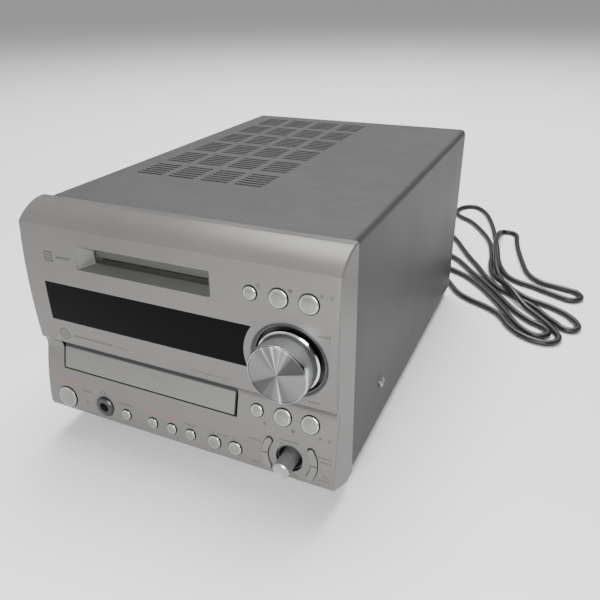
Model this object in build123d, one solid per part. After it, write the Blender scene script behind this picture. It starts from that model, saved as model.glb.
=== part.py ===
from build123d import *
import math
import os

# A half-width CD and MiniDisc tuner amplifier. All lengths are in millimetres. X runs to the
# right, Y to the back and Z up, and Z is 0 on the table. The pieces are drawn with Y 0 where
# the front panel meets the cover, and saved with Y 0 at the middle of the whole unit.

# Case
foot_height = 10.0
case_width = 201.0
case_height = 148.5
case_depth = 280.0
sheet = 1.2
bend_radius = 4.5
flange_gap = 0.1
flat_gap = 0.3

# Front panel: how far its profile reaches forward, and at which heights
panel_margin = 2.0
panel_wall = 2.5
panel_rise = 0.5
panel_crown = 1.1
panel_edge_radius = 1.4
toe_reach = 9.0
chin_reach = 29.4
chin_rise = 16.0
chin_slope_reach = 25.0
chin_slope_drop = 6.7
step_reach = 22.5
step_rise = 54.0
step_height = 8.8
lower_bow = 1.02
lip_reach = 25.0
upper_bow = 1.74
brow_reach = 22.3
brow_drop = 10.1
brow_top_reach = 5.0
brow_bow = 1.7

# MiniDisc slot
md_slot_x = -15.0
md_slot_drop = 26.0
md_bevel_width = 90.0
md_bevel_height = 14.8
md_mouth_width = 77.5
md_mouth_height = 8.2
md_mouth_drop = 1.5
md_mouth_depth = 16.0
md_lip = 1.1
md_block_margin = 3.0
md_block_back = 9.0
flap_thickness = 1.2
flap_drop = 6.0
flap_pin_radius = 0.8
flap_side_gap = 0.3

# Display
display_inset = 14.9
display_rise = 16.2
display_height = 25.5
display_arc_radius = 26.6
window_thickness = 2.1
window_inset = 0.2
window_lip = 1.5

# Volume knob and its well
volume_inset = 27.4
volume_rise = 25.9
volume_hole_radius = 21.0
volume_chamfer = 1.3
knob_base_radius = 18.0
knob_front_radius = 16.9
knob_rim = 1.0
knob_proud = 14.4
knob_sink = 1.0
well_wall = 1.0
fit_gap = 0.1

# Selector knob, its well and the four arc keys round it
selector_inset = 27.3
selector_rise = 9.9
selector_hole_radius = 8.3
selector_base_radius = 5.3
selector_front_radius = 4.9
selector_proud = 11.6
key_arc_radius = 15.15
key_slot_width = 4.8
key_half_angle = 33.0
key_gap = 0.35
key_lip = 0.8
key_proud = 0.9

# Push buttons
button_gap = 0.5
button_proud = 1.3
button_dome = 0.6
button_lip = 1.1
lip_room = 5.0
button_travel = 0.8
stem_radius = 1.5
md_button_drop = 26.3
cd_button_drop = 4.4
eject_radius = 4.2
stop_radius = 5.6
play_radius = 5.7
button_insets = (48.9, 32.9, 16.3)
lower_row_rise = 5.7
power_inset = 16.6
power_radius = 7.6
small_radius = 3.8
small_columns = (-38.1, -17.8, -3.8, 9.8)
preset_radius = 4.7
preset_columns = (26.5, 40.6)

# Headphone jack
jack_x = -55.1
jack_ring_radius = 6.9
jack_bore_radius = 3.25
jack_bore_length = 15.0
jack_proud = 1.2

# Front board, switches and encoders
board_front = 9.0
board_thickness = 1.6
board_edge_gap = 6.5
switch_width = 6.0
switch_depth = 3.5
encoder_width = 12.0
encoder_depth = 6.0
shaft_radius = 3.0
bush_radius = 4.2
running_gap = 0.05

# CD tray, its door and its opening
disc_y = 48.0
tray_inset = 75.95
tray_width = 125.0
tray_bottom_drop = 7.5
tray_thickness = 6.5
tray_skin = 2.0
tray_front = 18.0
tray_back = 156.0
well_radius = 60.5
disc_well_depth = 4.5
small_well_radius = 41.0
small_well_depth = 1.0
tray_slot_width = 36.0
door_width = 126.5
door_bottom_drop = 11.0
door_height = 17.0
door_gap = 1.2
tray_travel = 140.0

# Tray drive
gear_module = 1.0
gear_teeth = 16
gear_backlash = 0.25
rack_height = 3.8
rack_inset = 3.75
rack_base = 2.2
pulley_radius = 10.5
motor_pulley_radius = 3.5
groove_depth = 0.8
belt_thickness = 0.8
motor_y = 42.0
motor_radius = 9.5
motor_length = 14.0
belt_width = 1.2
gear_y = 10.0
post_radius = 1.5

# CD loader frame and traverse
loader_front = 5.0
loader_back = 160.0
loader_wall = 3.95
loader_bottom_drop = 18.0
loader_top_rise = 12.0
ledge = 3.0
ledge_thickness = 1.7
traverse_width = 70.0
traverse_front = 28.0
pivot_y = 148.0
traverse_thickness = 2.0
traverse_drop = 15.0
pivot_radius = 2.0
turntable_radius = 13.0
turntable_seat_drop = 3.0
spindle_radius = 1.0
rail_radius = 1.5
rail_spread = 22.0
pickup_length = 26.0
pickup_width = 34.0
pickup_start = 66.0
clamper_radius = 17.0
clamper_body_radius = 12.6
bridge_hole_radius = 13.2

# MiniDisc mechanism and the bracket that carries both mechanisms
md_mech_width = 100.0
md_mech_front = 6.3
md_mech_back = 85.0
md_cavity_width = 75.0
md_cavity_height = 7.0
md_cavity_back = 63.0
bracket_wall = 1.5
bracket_front = 5.0
bracket_back = 100.0
bracket_left_room = 6.0
bracket_right_room = 7.5

# Main board, heat sink, transformer and tuner
standoff = 5.8
board_bottom = foot_height + sheet + standoff
sink_fins = 9
sink_fin = 1.5
sink_base = 5.0
sink_fin_length = 26.0
sink_height = 87.4
transformer_inset = 42.2
transformer_room = 48.0
core_width = 60.0
core_depth = 40.0
core_height = 50.0
terminal_proud = 14.0
jack_pitch = 16.0

# Vents: patches of slots in the cover's top
vent_columns = 4
vent_inset = 29.0
vent_y = 77.5
vent_back = 15.0
vent_column_pitch = 25.5
vent_row_pitch = 34.9
vent_width = 20.0
vent_slots = 6
vent_slot = 2.2
vent_slot_pitch = 4.7

# Feet and screws
foot_radius = 11.0
foot_inset = 22.5
foot_end = 24.0
screw_radius = 3.6
side_screw_y = 57.7
side_screw_rise = 29.5
rear_screw_inset = 15.5
rear_screw_drop = 10.0
rear_side_screw_inset = 10.5
rear_side_screw_rise = 50.0

# Rear openings: limits across, and heights above the case's bottom
speaker_x = (-84.0, -28.0)
speaker_rise = (16.0, 44.0)
line_x = (-84.0, -14.0)
line_rise = (64.0, 102.0)
antenna_x = (30.0, 84.0)
antenna_rise = (92.0, 112.0)
rear_rim = 2.0
rear_vents = 7
rear_vent_x = 34.0
rear_vent_pitch = 8.0
rear_vent_width = 3.5
rear_vent_rise = (50.0, 78.0)
exit_x = 30.0
exit_rise = 22.0
exit_hole_radius = 7.0

# Mains cord: its section, the height of its middle where it lies on the table, where it
# crosses over one turn and over two, and its route
cord_diameter = 5.4
cord_sides = 8
table = cord_diameter / 2 + 0.05
relief_length = 26.0
relief_end = case_depth + relief_length
low = 6.0
high = 9.0
plug_body = (24.0, 19.0, 11.5)
blade_pitch = 12.7

# Worked out from the sizes above
case_bottom = foot_height
case_top = case_bottom + case_height
case_half = case_width / 2
inner_half = case_half - sheet - flange_gap
panel_half = case_half + panel_margin
panel_bottom = case_bottom + panel_rise
panel_top = case_top + panel_crown
chin_z = case_bottom + chin_rise
step_z = case_bottom + step_rise
lip_z = step_z + step_height
brow_z = panel_top - brow_drop
display_bottom = lip_z + display_rise
display_top = display_bottom + display_height
display_left = -(panel_half - display_inset)
volume_x = panel_half - volume_inset
volume_z = lip_z + volume_rise
selector_x = panel_half - selector_inset
selector_z = chin_z + selector_rise
power_x = -(panel_half - power_inset)
button_columns = [panel_half - inset for inset in button_insets]
lower_row_z = chin_z + lower_row_rise
jack_z = lower_row_z + 1.0
md_button_z = panel_top - md_button_drop
cd_button_z = step_z - cd_button_drop
md_slot_z = panel_top - md_slot_drop
md_mouth_z = md_slot_z - md_mouth_drop
flap_pin_y = -(md_mouth_depth - md_lip - flat_gap - flap_thickness - 0.4)
flap_pin_z = md_mouth_z + md_mouth_height / 2 + 1.3
board_back = -(board_front - board_thickness)
switch_front = -(board_front + switch_depth)
well_floor_y = -(board_front + encoder_depth + 3.3)
tray_x = -(inner_half - tray_inset)
tray_z = step_z - tray_bottom_drop
tray_top = tray_z + tray_thickness
tray_left = tray_x - tray_width / 2
tray_right = tray_x + tray_width / 2
door_bottom = step_z - door_bottom_drop
door_top = door_bottom + door_height
disc_seat = tray_top - turntable_seat_drop + 1.0
traverse_z = disc_seat - traverse_drop + traverse_thickness
loader_bottom = step_z - loader_bottom_drop
loader_top = step_z + loader_top_rise
frame_left = tray_left - flat_gap - loader_wall
frame_right = tray_right + flat_gap + loader_wall
bracket_left = frame_left - bracket_left_room
bracket_right = frame_right + bracket_right_room
transformer_x = inner_half - transformer_inset
transformer_y = loader_back + transformer_room
board_left = -(inner_half - 6.2)
board_right = bracket_right - 5
board_rear_right = transformer_x - core_width / 2 - 5
board_end = case_depth - 8
sink_left = -(inner_half - 7.2)
vent_x = -(case_half - vent_inset)
vent_rows = int((case_depth - vent_y - vent_back) / vent_row_pitch) + 1
foot_x = case_half - foot_inset
foot_front = foot_end
foot_back = case_depth - foot_end
exit_z = case_bottom + exit_rise

# The route of the mains cord, from the strain relief to the plug
cord_start = [
    (exit_x, relief_end, exit_z), (exit_x, 318, exit_z), (34, 329, 28), (43, 336, 21), (55, 338, 13),
    (67, 334, 7), (78, 326, 3.5), (87, 315, table), (96, 303.5, table), (103, 291, table),
    (112, 278.5, table), (125.5, 269.5, table), (141, 262, table), (154, 251, table),
    (164, 239, table), (175, 228, table),
]
hank_split = (181.5, 223.5, table)
cord_folds = [
    (188, 219, table), (200, 220, table), (205, 231, table), (198, 246, table),
    (187, 260, table), (175, 273, table), (165, 284, low + 0.8), (157, 297, high + 0.4),
    (148, 309, high + 0.2), (139, 324, low - 0.5), (132, 342, table), (128, 362, table),
    (126.5, 383, table), (123, 403, table), (119, 421, table), (113, 439, table),
    (104, 457, table), (94, 475, table), (83, 491, table), (71, 500, table),
    (62, 511, table), (60, 527, table), (65, 542, table), (76, 552, table),
    (89, 542, table), (99, 523, table), (106, 503, table), (112, 483, table),
    (117, 463, table), (121, 443, table), (126, 422, table), (129.8, 403, table),
    (133, 382, table), (138, 362, table), (143.5, 348, table), (150, 336, table),
    (161, 328, table), (173, 324, table), (186, 317, table), (200, 311, table),
    (213, 307, table), (221, 314, table), (217, 324, table), (206, 327, table),
    (194, 332, table), (182, 335, table), (172, 344, table), (165, 357, table),
    (160, 375, table), (155, 395, table), (150, 417, table), (146, 440, table),
    (143, 455, table), (140, 464.5, table), (131, 464, table), (128, 459, low - 1.5),
    (124.5, 446, high - 0.8), (124.5, 424, high), (126, 402, high - 0.8), (130.5, 378, high - 0.8),
    (133.8, 358, low + 0.6), (139, 341, 3.6), (145, 326, table), (153, 312, table),
    (164, 302, table), (174, 293, table), (186, 289, table), (198, 283, table),
    (208, 274, table), (216, 264, table), (220, 253, table), (212, 246, table),
    (202, 251, table), (193.6, 261.8, table), (185, 274, table), (176, 283, table),
    (167.5, 289, table), (157.5, 296.5, table), (146, 305, table), (135, 318, table),
    (124, 337, table), (116, 353, table), (104.5, 372, table), (93.5, 393, table),
    (83, 415, table), (72, 433, table), (57, 437, table), (45, 426, table),
    (43, 409, table), (50, 393, table), (64, 382, table), (80, 374, table),
    (92, 364, table), (102.5, 350.5, table), (113, 335, table), (127, 318, table),
    (139.5, 301.5, table), (149, 287, table), (160, 270, table), (170, 258, table),
    (182, 248, table), (193.5, 240.8, table), (194.5, 232.8, table), (187.5, 228.8, table),
    (180.5, 233.8, table), (169.5, 245, table), (157, 260, table), (147, 276, table),
    (136, 292, table), (124, 308, table), (112, 321, table), (100, 330, table),
    (86, 336, 3.9), (72, 343, low), (60, 353, low),
]


# Cylinders and boxes whose own Z 0 is at their bottom, or at their top
BOTTOM = (Align.CENTER, Align.CENTER, Align.MIN)
TOP = (Align.CENTER, Align.CENTER, Align.MAX)


def save(node, shape):
    """Write one node, moved so that Y 0 is the middle of the whole unit."""
    export_step(Pos(0, -middle, 0) * shape, f"parts/{node}.step")


def block(x, y, z):
    """A box between two limits on each axis."""
    size = Box(x[1] - x[0], y[1] - y[0], z[1] - z[0])
    return Pos((x[0] + x[1]) / 2, (y[0] + y[1]) / 2, (z[0] + z[1]) / 2) * size


def facing_back(x, y, z):
    """A place whose own Z runs straight back from a point."""
    return Plane(origin=(x, y, z), x_dir=(1, 0, 0), z_dir=(0, 1, 0)).location


def upright(radius, x, y, z):
    """A round bar that stands between two heights."""
    bar = Cylinder(radius, z[1] - z[0], align=BOTTOM)
    return Pos(x, y, z[0]) * bar


def lengthwise(radius, x, y, z):
    """A round bar that lies between two depths."""
    bar = Cylinder(radius, y[1] - y[0], align=BOTTOM)
    return facing_back(x, y[0], z) * bar


def crosswise(radius, x, y, z):
    """A round bar that lies between two places on X."""
    bar = Cylinder(radius, x[1] - x[0], align=BOTTOM)
    return Plane(origin=(x[0], y, z), x_dir=(0, 1, 0), z_dir=(1, 0, 0)).location * bar


# Front panel profile, drawn in the Y and Z of a side view

lower_arc = SagittaArc((-chin_reach, chin_z), (-step_reach, step_z), lower_bow)
upper_arc = SagittaArc((-lip_reach, lip_z), (-brow_reach, brow_z), upper_bow)


def face_arc(z):
    """The arc of the profile that the face follows at a height."""
    return lower_arc if z < step_z + step_height / 2 else upper_arc


def face_y(z, arc=None):
    """How far forward the panel's face lies at a height."""
    arc = arc or face_arc(z)
    centre = arc.arc_center
    return centre.X - math.sqrt(arc.radius**2 - (z - centre.Y) ** 2)


# The middle of the whole unit, between the volume knob's front and the rear terminals
middle = (case_depth + terminal_proud + face_y(volume_z) - knob_proud) / 2


def face_place(x, z):
    """A place on the face whose own Z points straight out of it."""
    arc = face_arc(z)
    lean = math.asin((z - arc.arc_center.Y) / arc.radius)
    out = (0, -math.cos(lean), math.sin(lean))
    return Plane(origin=(x, face_y(z), z), x_dir=(1, 0, 0), z_dir=out)


def panel_profile():
    """The side view of the panel, closed along its back."""
    slope_end = (-chin_slope_reach, chin_z - chin_slope_drop)
    outline = Polyline((-brow_top_reach, panel_top - 0.2), (0, panel_top), (0, panel_bottom))
    outline += Polyline((0, panel_bottom), (-toe_reach, panel_bottom), slope_end)
    outline += TangentArc((-chin_reach, chin_z), slope_end, tangent=-(lower_arc % 0))
    outline += lower_arc
    outline += TangentArc((-step_reach, step_z), (-lip_reach, lip_z), tangent=lower_arc % 1)
    outline += upper_arc
    outline += SagittaArc((-brow_reach, brow_z), (-brow_top_reach, panel_top - 0.2), brow_bow)
    return make_face(Plane.YZ * outline)


def window_outline(margin):
    """The display window's outline: a bar whose right end curves round the volume knob."""
    bottom = display_bottom - margin
    top = display_top + margin
    left = display_left - margin
    radius = display_arc_radius - margin

    def arc_x(z):
        return volume_x - math.sqrt(radius**2 - (z - volume_z) ** 2)

    outline = Polyline((arc_x(top), top), (left, top), (left, bottom), (arc_x(bottom), bottom))
    low_end = (arc_x(bottom), bottom)
    outline += ThreePointArc(low_end, (volume_x - radius, volume_z), (arc_x(top), top))
    return make_face(Plane.XZ * outline)


def md_rectangle(width, height, z, y):
    """A rectangle on the MiniDisc slot's middle line, at one depth."""
    place = Plane(origin=(md_slot_x, y, z), x_dir=(1, 0, 0), z_dir=(0, -1, 0))
    return place * RectangleRounded(width, height, 0.8)


def md_recess():
    """The bevelled mouth of the MiniDisc slot, cut through its block."""
    front = md_rectangle(md_bevel_width, md_bevel_height, md_slot_z, face_y(md_slot_z))
    mouth = md_rectangle(md_mouth_width, md_mouth_height, md_mouth_z, -md_mouth_depth)
    bevel = loft([front, mouth], ruled=True)
    clear = extrude(front, amount=3)
    return bevel + clear + extrude(mouth, amount=-md_mouth_depth)


def md_block():
    """The block behind the face that holds the mouth, the flap's pocket and its pin holes."""
    half_width = md_bevel_width / 2 + md_block_margin
    x = (md_slot_x - half_width, md_slot_x + half_width)
    bottom = md_slot_z - md_bevel_height / 2 - md_block_margin
    top = md_slot_z + md_bevel_height / 2 + md_block_margin
    return block(x, (-chin_reach, -md_block_back), (bottom, top))


def flap_pocket():
    """The room behind the mouth in which the flap hangs and swings."""
    half_width = md_mouth_width / 2 + flap_side_gap + 0.15
    x = (md_slot_x - half_width, md_slot_x + half_width)
    bottom = md_mouth_z - md_mouth_height / 2 - 0.4
    pocket = block(x, (-md_mouth_depth + md_lip, 0), (bottom, flap_pin_z + 1.9))
    pin_half = md_mouth_width / 2 + 2.5
    pins = (md_slot_x - pin_half, md_slot_x + pin_half)
    return pocket + crosswise(flap_pin_radius + running_gap, pins, flap_pin_y, flap_pin_z)


def key_sketch(width, half_angle):
    """Both arc slots round the selector, on the right and on the left."""
    right = SlotArc(CenterArc((0, 0), key_arc_radius, -half_angle, 2 * half_angle), width)
    return right + Rot(0, 0, 180) * right


def board_bosses():
    """Posts behind the face that carry the front board."""
    upper = panel_top - 12.6
    side = panel_half - 12.5
    lower = chin_z - 4
    places = [(-side, upper), (side, upper), (side + 4, step_z + 12), (-70, lower), (20, lower)]
    bosses = [lengthwise(3, x, (-chin_reach, -board_front), z) for x, z in places]
    return bosses


def round_holes():
    """Every round push button as its name, hole radius, place across and height."""
    names = ("eject", "stop", "play")
    radii = (eject_radius, stop_radius, play_radius)
    holes = []
    for disc, z in (("md", md_button_z), ("cd", cd_button_z)):
        for name, radius, x in zip(names, radii, button_columns):
            holes.append((f"{disc}_{name}_button", radius, x, z))
    holes.append(("power_button", power_radius, power_x, lower_row_z))
    small_names = ("timer", "record", "dubbing", "tone")
    for name, x in zip(small_names, small_columns):
        holes.append((f"{name}_button", small_radius, x, lower_row_z))
    for name, x in zip(("preset_down", "preset_up"), preset_columns):
        holes.append((f"{name}_button", preset_radius, x, lower_row_z))
    return holes


def panel_body():
    """The panel's outer form, solid: its profile run out to two softened side rims."""
    half = extrude(panel_profile(), amount=panel_half, dir=(1, 0, 0))
    rim = half.faces().filter_by(Axis.X).sort_by(Axis.X)[-1]
    front_edges = rim.edges().filter_by(lambda edge: edge.center().Y < -0.1)
    half = fillet(front_edges, panel_edge_radius)
    return half + mirror(half, Plane.YZ)


def front_panel():
    """The moulded panel: a bent wall with every opening of the face."""
    body = panel_body()
    inner = offset(panel_profile(), amount=-panel_wall, kind=Kind.INTERSECTION)
    cavity = extrude(inner, amount=panel_half - panel_wall, both=True)
    cavity += Pos(0, panel_wall + 1, 0) * cavity
    panel = body - cavity + (md_block() & body)
    for boss in board_bosses():
        panel += boss & body
    panel -= md_recess()
    panel -= flap_pocket()
    panel -= extrude(window_outline(fit_gap), amount=2 * chin_reach)
    door_half = door_width / 2 + door_gap
    door_x = (tray_x - door_half, tray_x + door_half)
    panel -= block(door_x, (-2 * chin_reach, -panel_wall), (door_bottom - 1, door_top + 1))
    panel -= volume_opening()
    panel -= lengthwise(selector_hole_radius, selector_x, (-2 * chin_reach, -1), selector_z)
    panel -= lengthwise(jack_ring_radius + fit_gap, jack_x, (-2 * chin_reach, -1), jack_z)
    for _, radius, x, z in round_holes():
        room = Pos(0, 0, -panel_wall) * Cylinder(radius + button_lip + flat_gap, lip_room, align=TOP)
        panel -= face_place(x, z).location * (Cylinder(radius, 4 * panel_wall) + room)
    keys = extrude(key_sketch(key_slot_width, key_half_angle), 2 * panel_wall, both=True)
    key_room = key_sketch(key_slot_width + 2 * key_lip + 2 * flat_gap, key_half_angle + 3)
    keys += extrude(Pos(0, 0, -panel_wall) * key_room, amount=-lip_room)
    panel -= face_place(selector_x, selector_z).location * keys
    return panel


def volume_opening():
    """The volume knob's round hole and the chamfer round it."""
    front = face_y(volume_z) - 1
    chamfer_depth = volume_chamfer + 1
    cone = Cone(
        volume_hole_radius + chamfer_depth,
        volume_hole_radius,
        chamfer_depth,
        align=BOTTOM,
    )
    hole = lengthwise(volume_hole_radius, volume_x, (-2 * chin_reach, -1), volume_z)
    return hole + facing_back(volume_x, front, volume_z) * cone


def behind_face(start, end):
    """The layer of the panel's block between two depths behind its face."""
    body = extrude(panel_profile(), amount=panel_half, both=True)
    return Pos(0, start, 0) * body - Pos(0, end, 0) * body


def display_window():
    """The smoked window, with a lip behind the wall that it is set in."""
    pane = extrude(window_outline(0), amount=2 * chin_reach)
    lip = extrude(window_outline(window_lip), amount=2 * chin_reach)
    front = behind_face(window_inset, panel_wall + fit_gap + window_thickness / 2)
    back = behind_face(panel_wall + fit_gap, panel_wall + fit_gap + window_thickness / 2)
    return (pane & front) + (lip & back)


def display_module():
    """The fluorescent display: a glass box with its frame on the front board."""
    x = (display_left + 1.6, volume_x - display_arc_radius - 1.5)
    z = (display_bottom - 0.5, display_top + 0.5)
    glass_front = -(board_front + 11.0)
    glass = block(x, (glass_front, -(board_front + 3)), z)
    frame = block((x[0] - 1, x[1] + 1), (-(board_front + 3), -board_front), (z[0] - 1, z[1] + 1))
    return glass + frame


def md_slot_door():
    """The flap that hangs behind the MiniDisc mouth, with the pins it swings on."""
    half_width = md_mouth_width / 2 - flap_side_gap + 0.15
    x = (md_slot_x - half_width, md_slot_x + half_width)
    front = -md_mouth_depth + md_lip + flat_gap
    plate = block(x, (front, front + flap_thickness), (flap_pin_z - flap_drop, flap_pin_z))
    barrel = crosswise(1.3, x, flap_pin_y, flap_pin_z)
    pin_half = md_mouth_width / 2 + 2.2
    pins = (md_slot_x - pin_half, md_slot_x + pin_half)
    return plate + barrel + crosswise(flap_pin_radius, pins, flap_pin_y, flap_pin_z)


def push_button(radius, x, z):
    """A domed cap, a lip that stops behind the wall and a stem down to its switch."""
    place = face_place(x, z)
    cap_radius = radius - button_gap
    lip_top = -(panel_wall + flat_gap)
    shoulder = button_proud - button_dome
    ball = (cap_radius**2 + button_dome**2) / (2 * button_dome)
    half_way = (cap_radius / 2, button_proud - ball + math.sqrt(ball**2 - cap_radius**2 / 4))
    outline = ThreePointArc((cap_radius, shoulder), half_way, (0, button_proud))
    outline += Polyline(
        (0, button_proud),
        (0, lip_top - 1.2),
        (radius + button_lip, lip_top - 1.2),
        (radius + button_lip, lip_top),
        (cap_radius, lip_top),
        (cap_radius, shoulder),
    )
    cap = revolve(make_face(Plane.XZ * outline), Axis.Z)
    reach = stem_reach(place)
    stem = Cylinder(stem_radius, reach + lip_top, align=BOTTOM)
    return place.location * (cap + Pos(0, 0, -reach) * stem)


def stem_reach(place):
    """How far behind the face a stem ends, clear of its switch over the whole travel."""
    out = place.z_dir
    clear = switch_front - button_travel - 0.15 - stem_radius * abs(out.Z)
    return (clear - place.origin.Y) / -out.Y


def stem_end(place):
    """The middle of a stem's end."""
    return place.origin - place.z_dir * stem_reach(place)


def key_place(side, up):
    """The place on the face of one arc key's stem."""
    angle = math.radians(key_half_angle / 2)
    plane = face_place(selector_x, selector_z)
    spot = Vector(side * math.cos(angle), up * math.sin(angle), 0) * key_arc_radius
    return Plane(origin=plane.from_local_coords(spot), x_dir=plane.x_dir, z_dir=plane.z_dir)


def arc_key(side, up):
    """One of the four keys: a quarter of the ring of slots, with its lip and stem."""
    half_side = Pos(side * 20, up * (10 + key_gap / 2)) * Rectangle(40, 20)
    sketch = key_sketch(key_slot_width - 2 * key_gap, key_half_angle - 1) & half_side
    lip_sketch = key_sketch(key_slot_width + 2 * key_lip, key_half_angle + 1) & half_side
    lip_top = -(panel_wall + flat_gap)
    cap = extrude(Pos(0, 0, lip_top) * sketch, amount=key_proud - lip_top)
    cap = fillet(cap.faces().sort_by(Axis.Z)[-1].edges(), 0.4)
    cap += extrude(Pos(0, 0, lip_top - 1) * lip_sketch, amount=1)
    plane = face_place(selector_x, selector_z)
    place = key_place(side, up)
    reach = stem_reach(place)
    stem = Cylinder(stem_radius, reach + lip_top, align=BOTTOM)
    return plane.location * cap + place.location * (Pos(0, 0, -reach) * stem)


def front_board():
    """The board behind the panel, with a switch under every stem."""
    x = (-panel_half + board_edge_gap, panel_half - board_edge_gap)
    depth = (-board_front, board_back)
    board = block(x, depth, (case_bottom + 5, panel_top - 9.6))
    through = (-2 * board_front, 0)
    tray_cut = (tray_left - 2, tray_right + 2)
    board -= block(tray_cut, through, (tray_z - 5.5, tray_top + 3))
    flap_half = md_mouth_width / 2 + 2
    flap_cut = (md_slot_x - flap_half, md_slot_x + flap_half)
    board -= block(flap_cut, through, (md_mouth_z - md_mouth_height / 2 - 1, flap_pin_z + 2.6))
    places = [face_place(x, z) for _, _, x, z in round_holes()]
    places += [key_place(side, up) for side in (-1, 1) for up in (-1, 1)]
    half = switch_width / 2
    for place in places:
        end = stem_end(place)
        switch_x = (end.X - half, end.X + half)
        board += block(switch_x, (switch_front, -board_front), (end.Z - half, end.Z + half))
    return board


def encoder(x, z):
    """A rotary encoder on the front board, with the bush that its shaft turns in."""
    half = encoder_width / 2
    front = -(board_front + encoder_depth)
    body = block((x - half, x + half), (front, -board_front), (z - half, z + half))
    body += lengthwise(bush_radius, x, (front - 2, front), z)
    return body - lengthwise(shaft_radius + running_gap, x, (front - 2, -board_front - 0.5), z)


def well(hole_radius, x, z, front):
    """A dark cup behind the face that a knob stands in."""
    radius = hole_radius - fit_gap
    cup = lengthwise(radius, x, (front, well_floor_y + well_wall), z)
    cup -= lengthwise(radius - well_wall, x, (front, well_floor_y), z)
    return cup - lengthwise(bush_radius + fit_gap, x, (front, 0), z)


def volume_knob():
    """The volume knob: a base ring, a body that tapers to its rim, and the shaft it turns on."""
    base_y = face_y(volume_z) + knob_sink
    front = knob_proud + knob_sink
    rim = knob_front_radius - knob_rim
    shaft_end = base_y + board_front + 1.0
    hub_end = base_y - (well_floor_y - flat_gap)
    outline = Polyline(
        (0, front - 1.0),
        (rim, front - 1.0),
        (rim, front),
        (knob_front_radius - 0.5, front),
        (knob_front_radius, front - 0.9),
        (knob_base_radius - 0.8, 2.6),
        (knob_base_radius, 2.0),
        (knob_base_radius, 0),
        (knob_base_radius - 2.4, 0),
        (knob_front_radius - 2.2, front - 3.2),
        (6.0, front - 3.2),
        (6.0, hub_end),
        (shaft_radius, hub_end),
        (shaft_radius, shaft_end),
        (0, shaft_end),
        (0, front - 1.0),
    )
    body = revolve(make_face(Plane.XZ * outline), Axis.Z)
    place = Plane(origin=(volume_x, base_y, volume_z), x_dir=(1, 0, 0), z_dir=(0, -1, 0))
    return place.location * body


def volume_knob_face():
    """The spun aluminium disc set in the volume knob's front."""
    front = face_y(volume_z) - knob_proud
    radius = knob_front_radius - knob_rim - fit_gap
    disc = lengthwise(radius, volume_x, (front + 0.15, front + 1.0), volume_z)
    return fillet(disc.faces().sort_by(Axis.Y)[0].edges(), 0.2)


def selector_knob():
    """The small knob, with a shallow dish in its front and the shaft it turns on."""
    face = face_y(selector_z)
    front = selector_proud - face
    base = -well_floor_y + flat_gap
    outline = ThreePointArc((0, front - 0.7), (2, front - 0.55), (4, front))
    outline += Polyline(
        (4, front),
        (selector_front_radius, front - 0.8),
        (selector_base_radius, base),
        (shaft_radius, base),
        (shaft_radius, board_front + 1),
        (0, board_front + 1),
        (0, front - 0.7),
    )
    body = revolve(make_face(Plane.XZ * outline), Axis.Z)
    place = Plane(origin=(selector_x, 0, selector_z), x_dir=(1, 0, 0), z_dir=(0, -1, 0))
    return place.location * body


def headphone_jack():
    """The phones socket: a ring in the face and its barrel on the front board."""
    front = face_y(jack_z) - jack_proud
    ring = lengthwise(jack_ring_radius, jack_x, (front, -board_front), jack_z)
    ring = chamfer(ring.faces().sort_by(Axis.Y)[0].edges(), 0.8)
    bore = (front - 1, front + jack_bore_length)
    return ring - lengthwise(jack_bore_radius, jack_x, bore, jack_z)


def tray_door():
    """The tray's front, which carries on the curve of the panel's lower face."""
    back = -tray_front
    bottom = (face_y(door_bottom), door_bottom)
    middle_z = (door_bottom + door_top) / 2
    half_way = (face_y(middle_z, lower_arc), middle_z)
    top = (face_y(door_top, lower_arc), door_top)
    outline = ThreePointArc(bottom, half_way, top)
    outline += Polyline(top, (back, door_top), (back, door_bottom), bottom)
    door = extrude(make_face(Plane.YZ * outline), amount=door_width / 2, both=True)
    door = Pos(tray_x, 0, 0) * door
    front_edges = door.edges().filter_by(lambda edge: edge.center().Y < back - 1.0)
    top_edge = front_edges.filter_by(Axis.X).sort_by(Axis.Z)[-1]
    door = fillet(top_edge, 1.6)
    pocket_half = tray_width / 2 - 2
    pocket_x = (tray_x - pocket_half, tray_x + pocket_half)
    return door - block(pocket_x, (back - 1.0, back), (tray_top + 1.0, door_top - 1.5))


def cd_tray():
    """The tray: a thin deck with a disc well, hollow below, and the rack along its left side."""
    width = (tray_left, tray_right)
    deck = block(width, (-tray_front, tray_back), (tray_z, tray_top))
    hollow = (tray_left + tray_skin, tray_right - tray_skin)
    under = block(hollow, (-tray_front + tray_skin, tray_back), (tray_z, tray_top - tray_skin))
    ring = upright(well_radius + tray_skin, tray_x, disc_y, (tray_z, tray_top))
    tray = deck - (under - ring)
    tray -= upright(well_radius, tray_x, disc_y, (tray_top - disc_well_depth, tray_top + 1))
    small_floor = tray_top - disc_well_depth - small_well_depth
    tray -= upright(small_well_radius, tray_x, disc_y, (small_floor, tray_top))
    slot = (tray_x - tray_slot_width / 2, tray_x + tray_slot_width / 2)
    tray -= block(slot, (disc_y, tray_back + 1), (tray_z - 1, tray_top + 1))
    tray -= upright(tray_slot_width / 2, tray_x, disc_y, (tray_z - 1, tray_top + 1))
    side = tray_slot_width / 2
    for edge, out in ((slot[0], -1), (slot[1], 1)):
        rib_x = sorted((edge, edge + out * tray_skin))
        rib = block(rib_x, (disc_y + side, tray_back), (tray_z, tray_top))
        tray += rib - upright(well_radius, tray_x, disc_y, (tray_z, tray_top + 1))
    return tray + rack()


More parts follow.
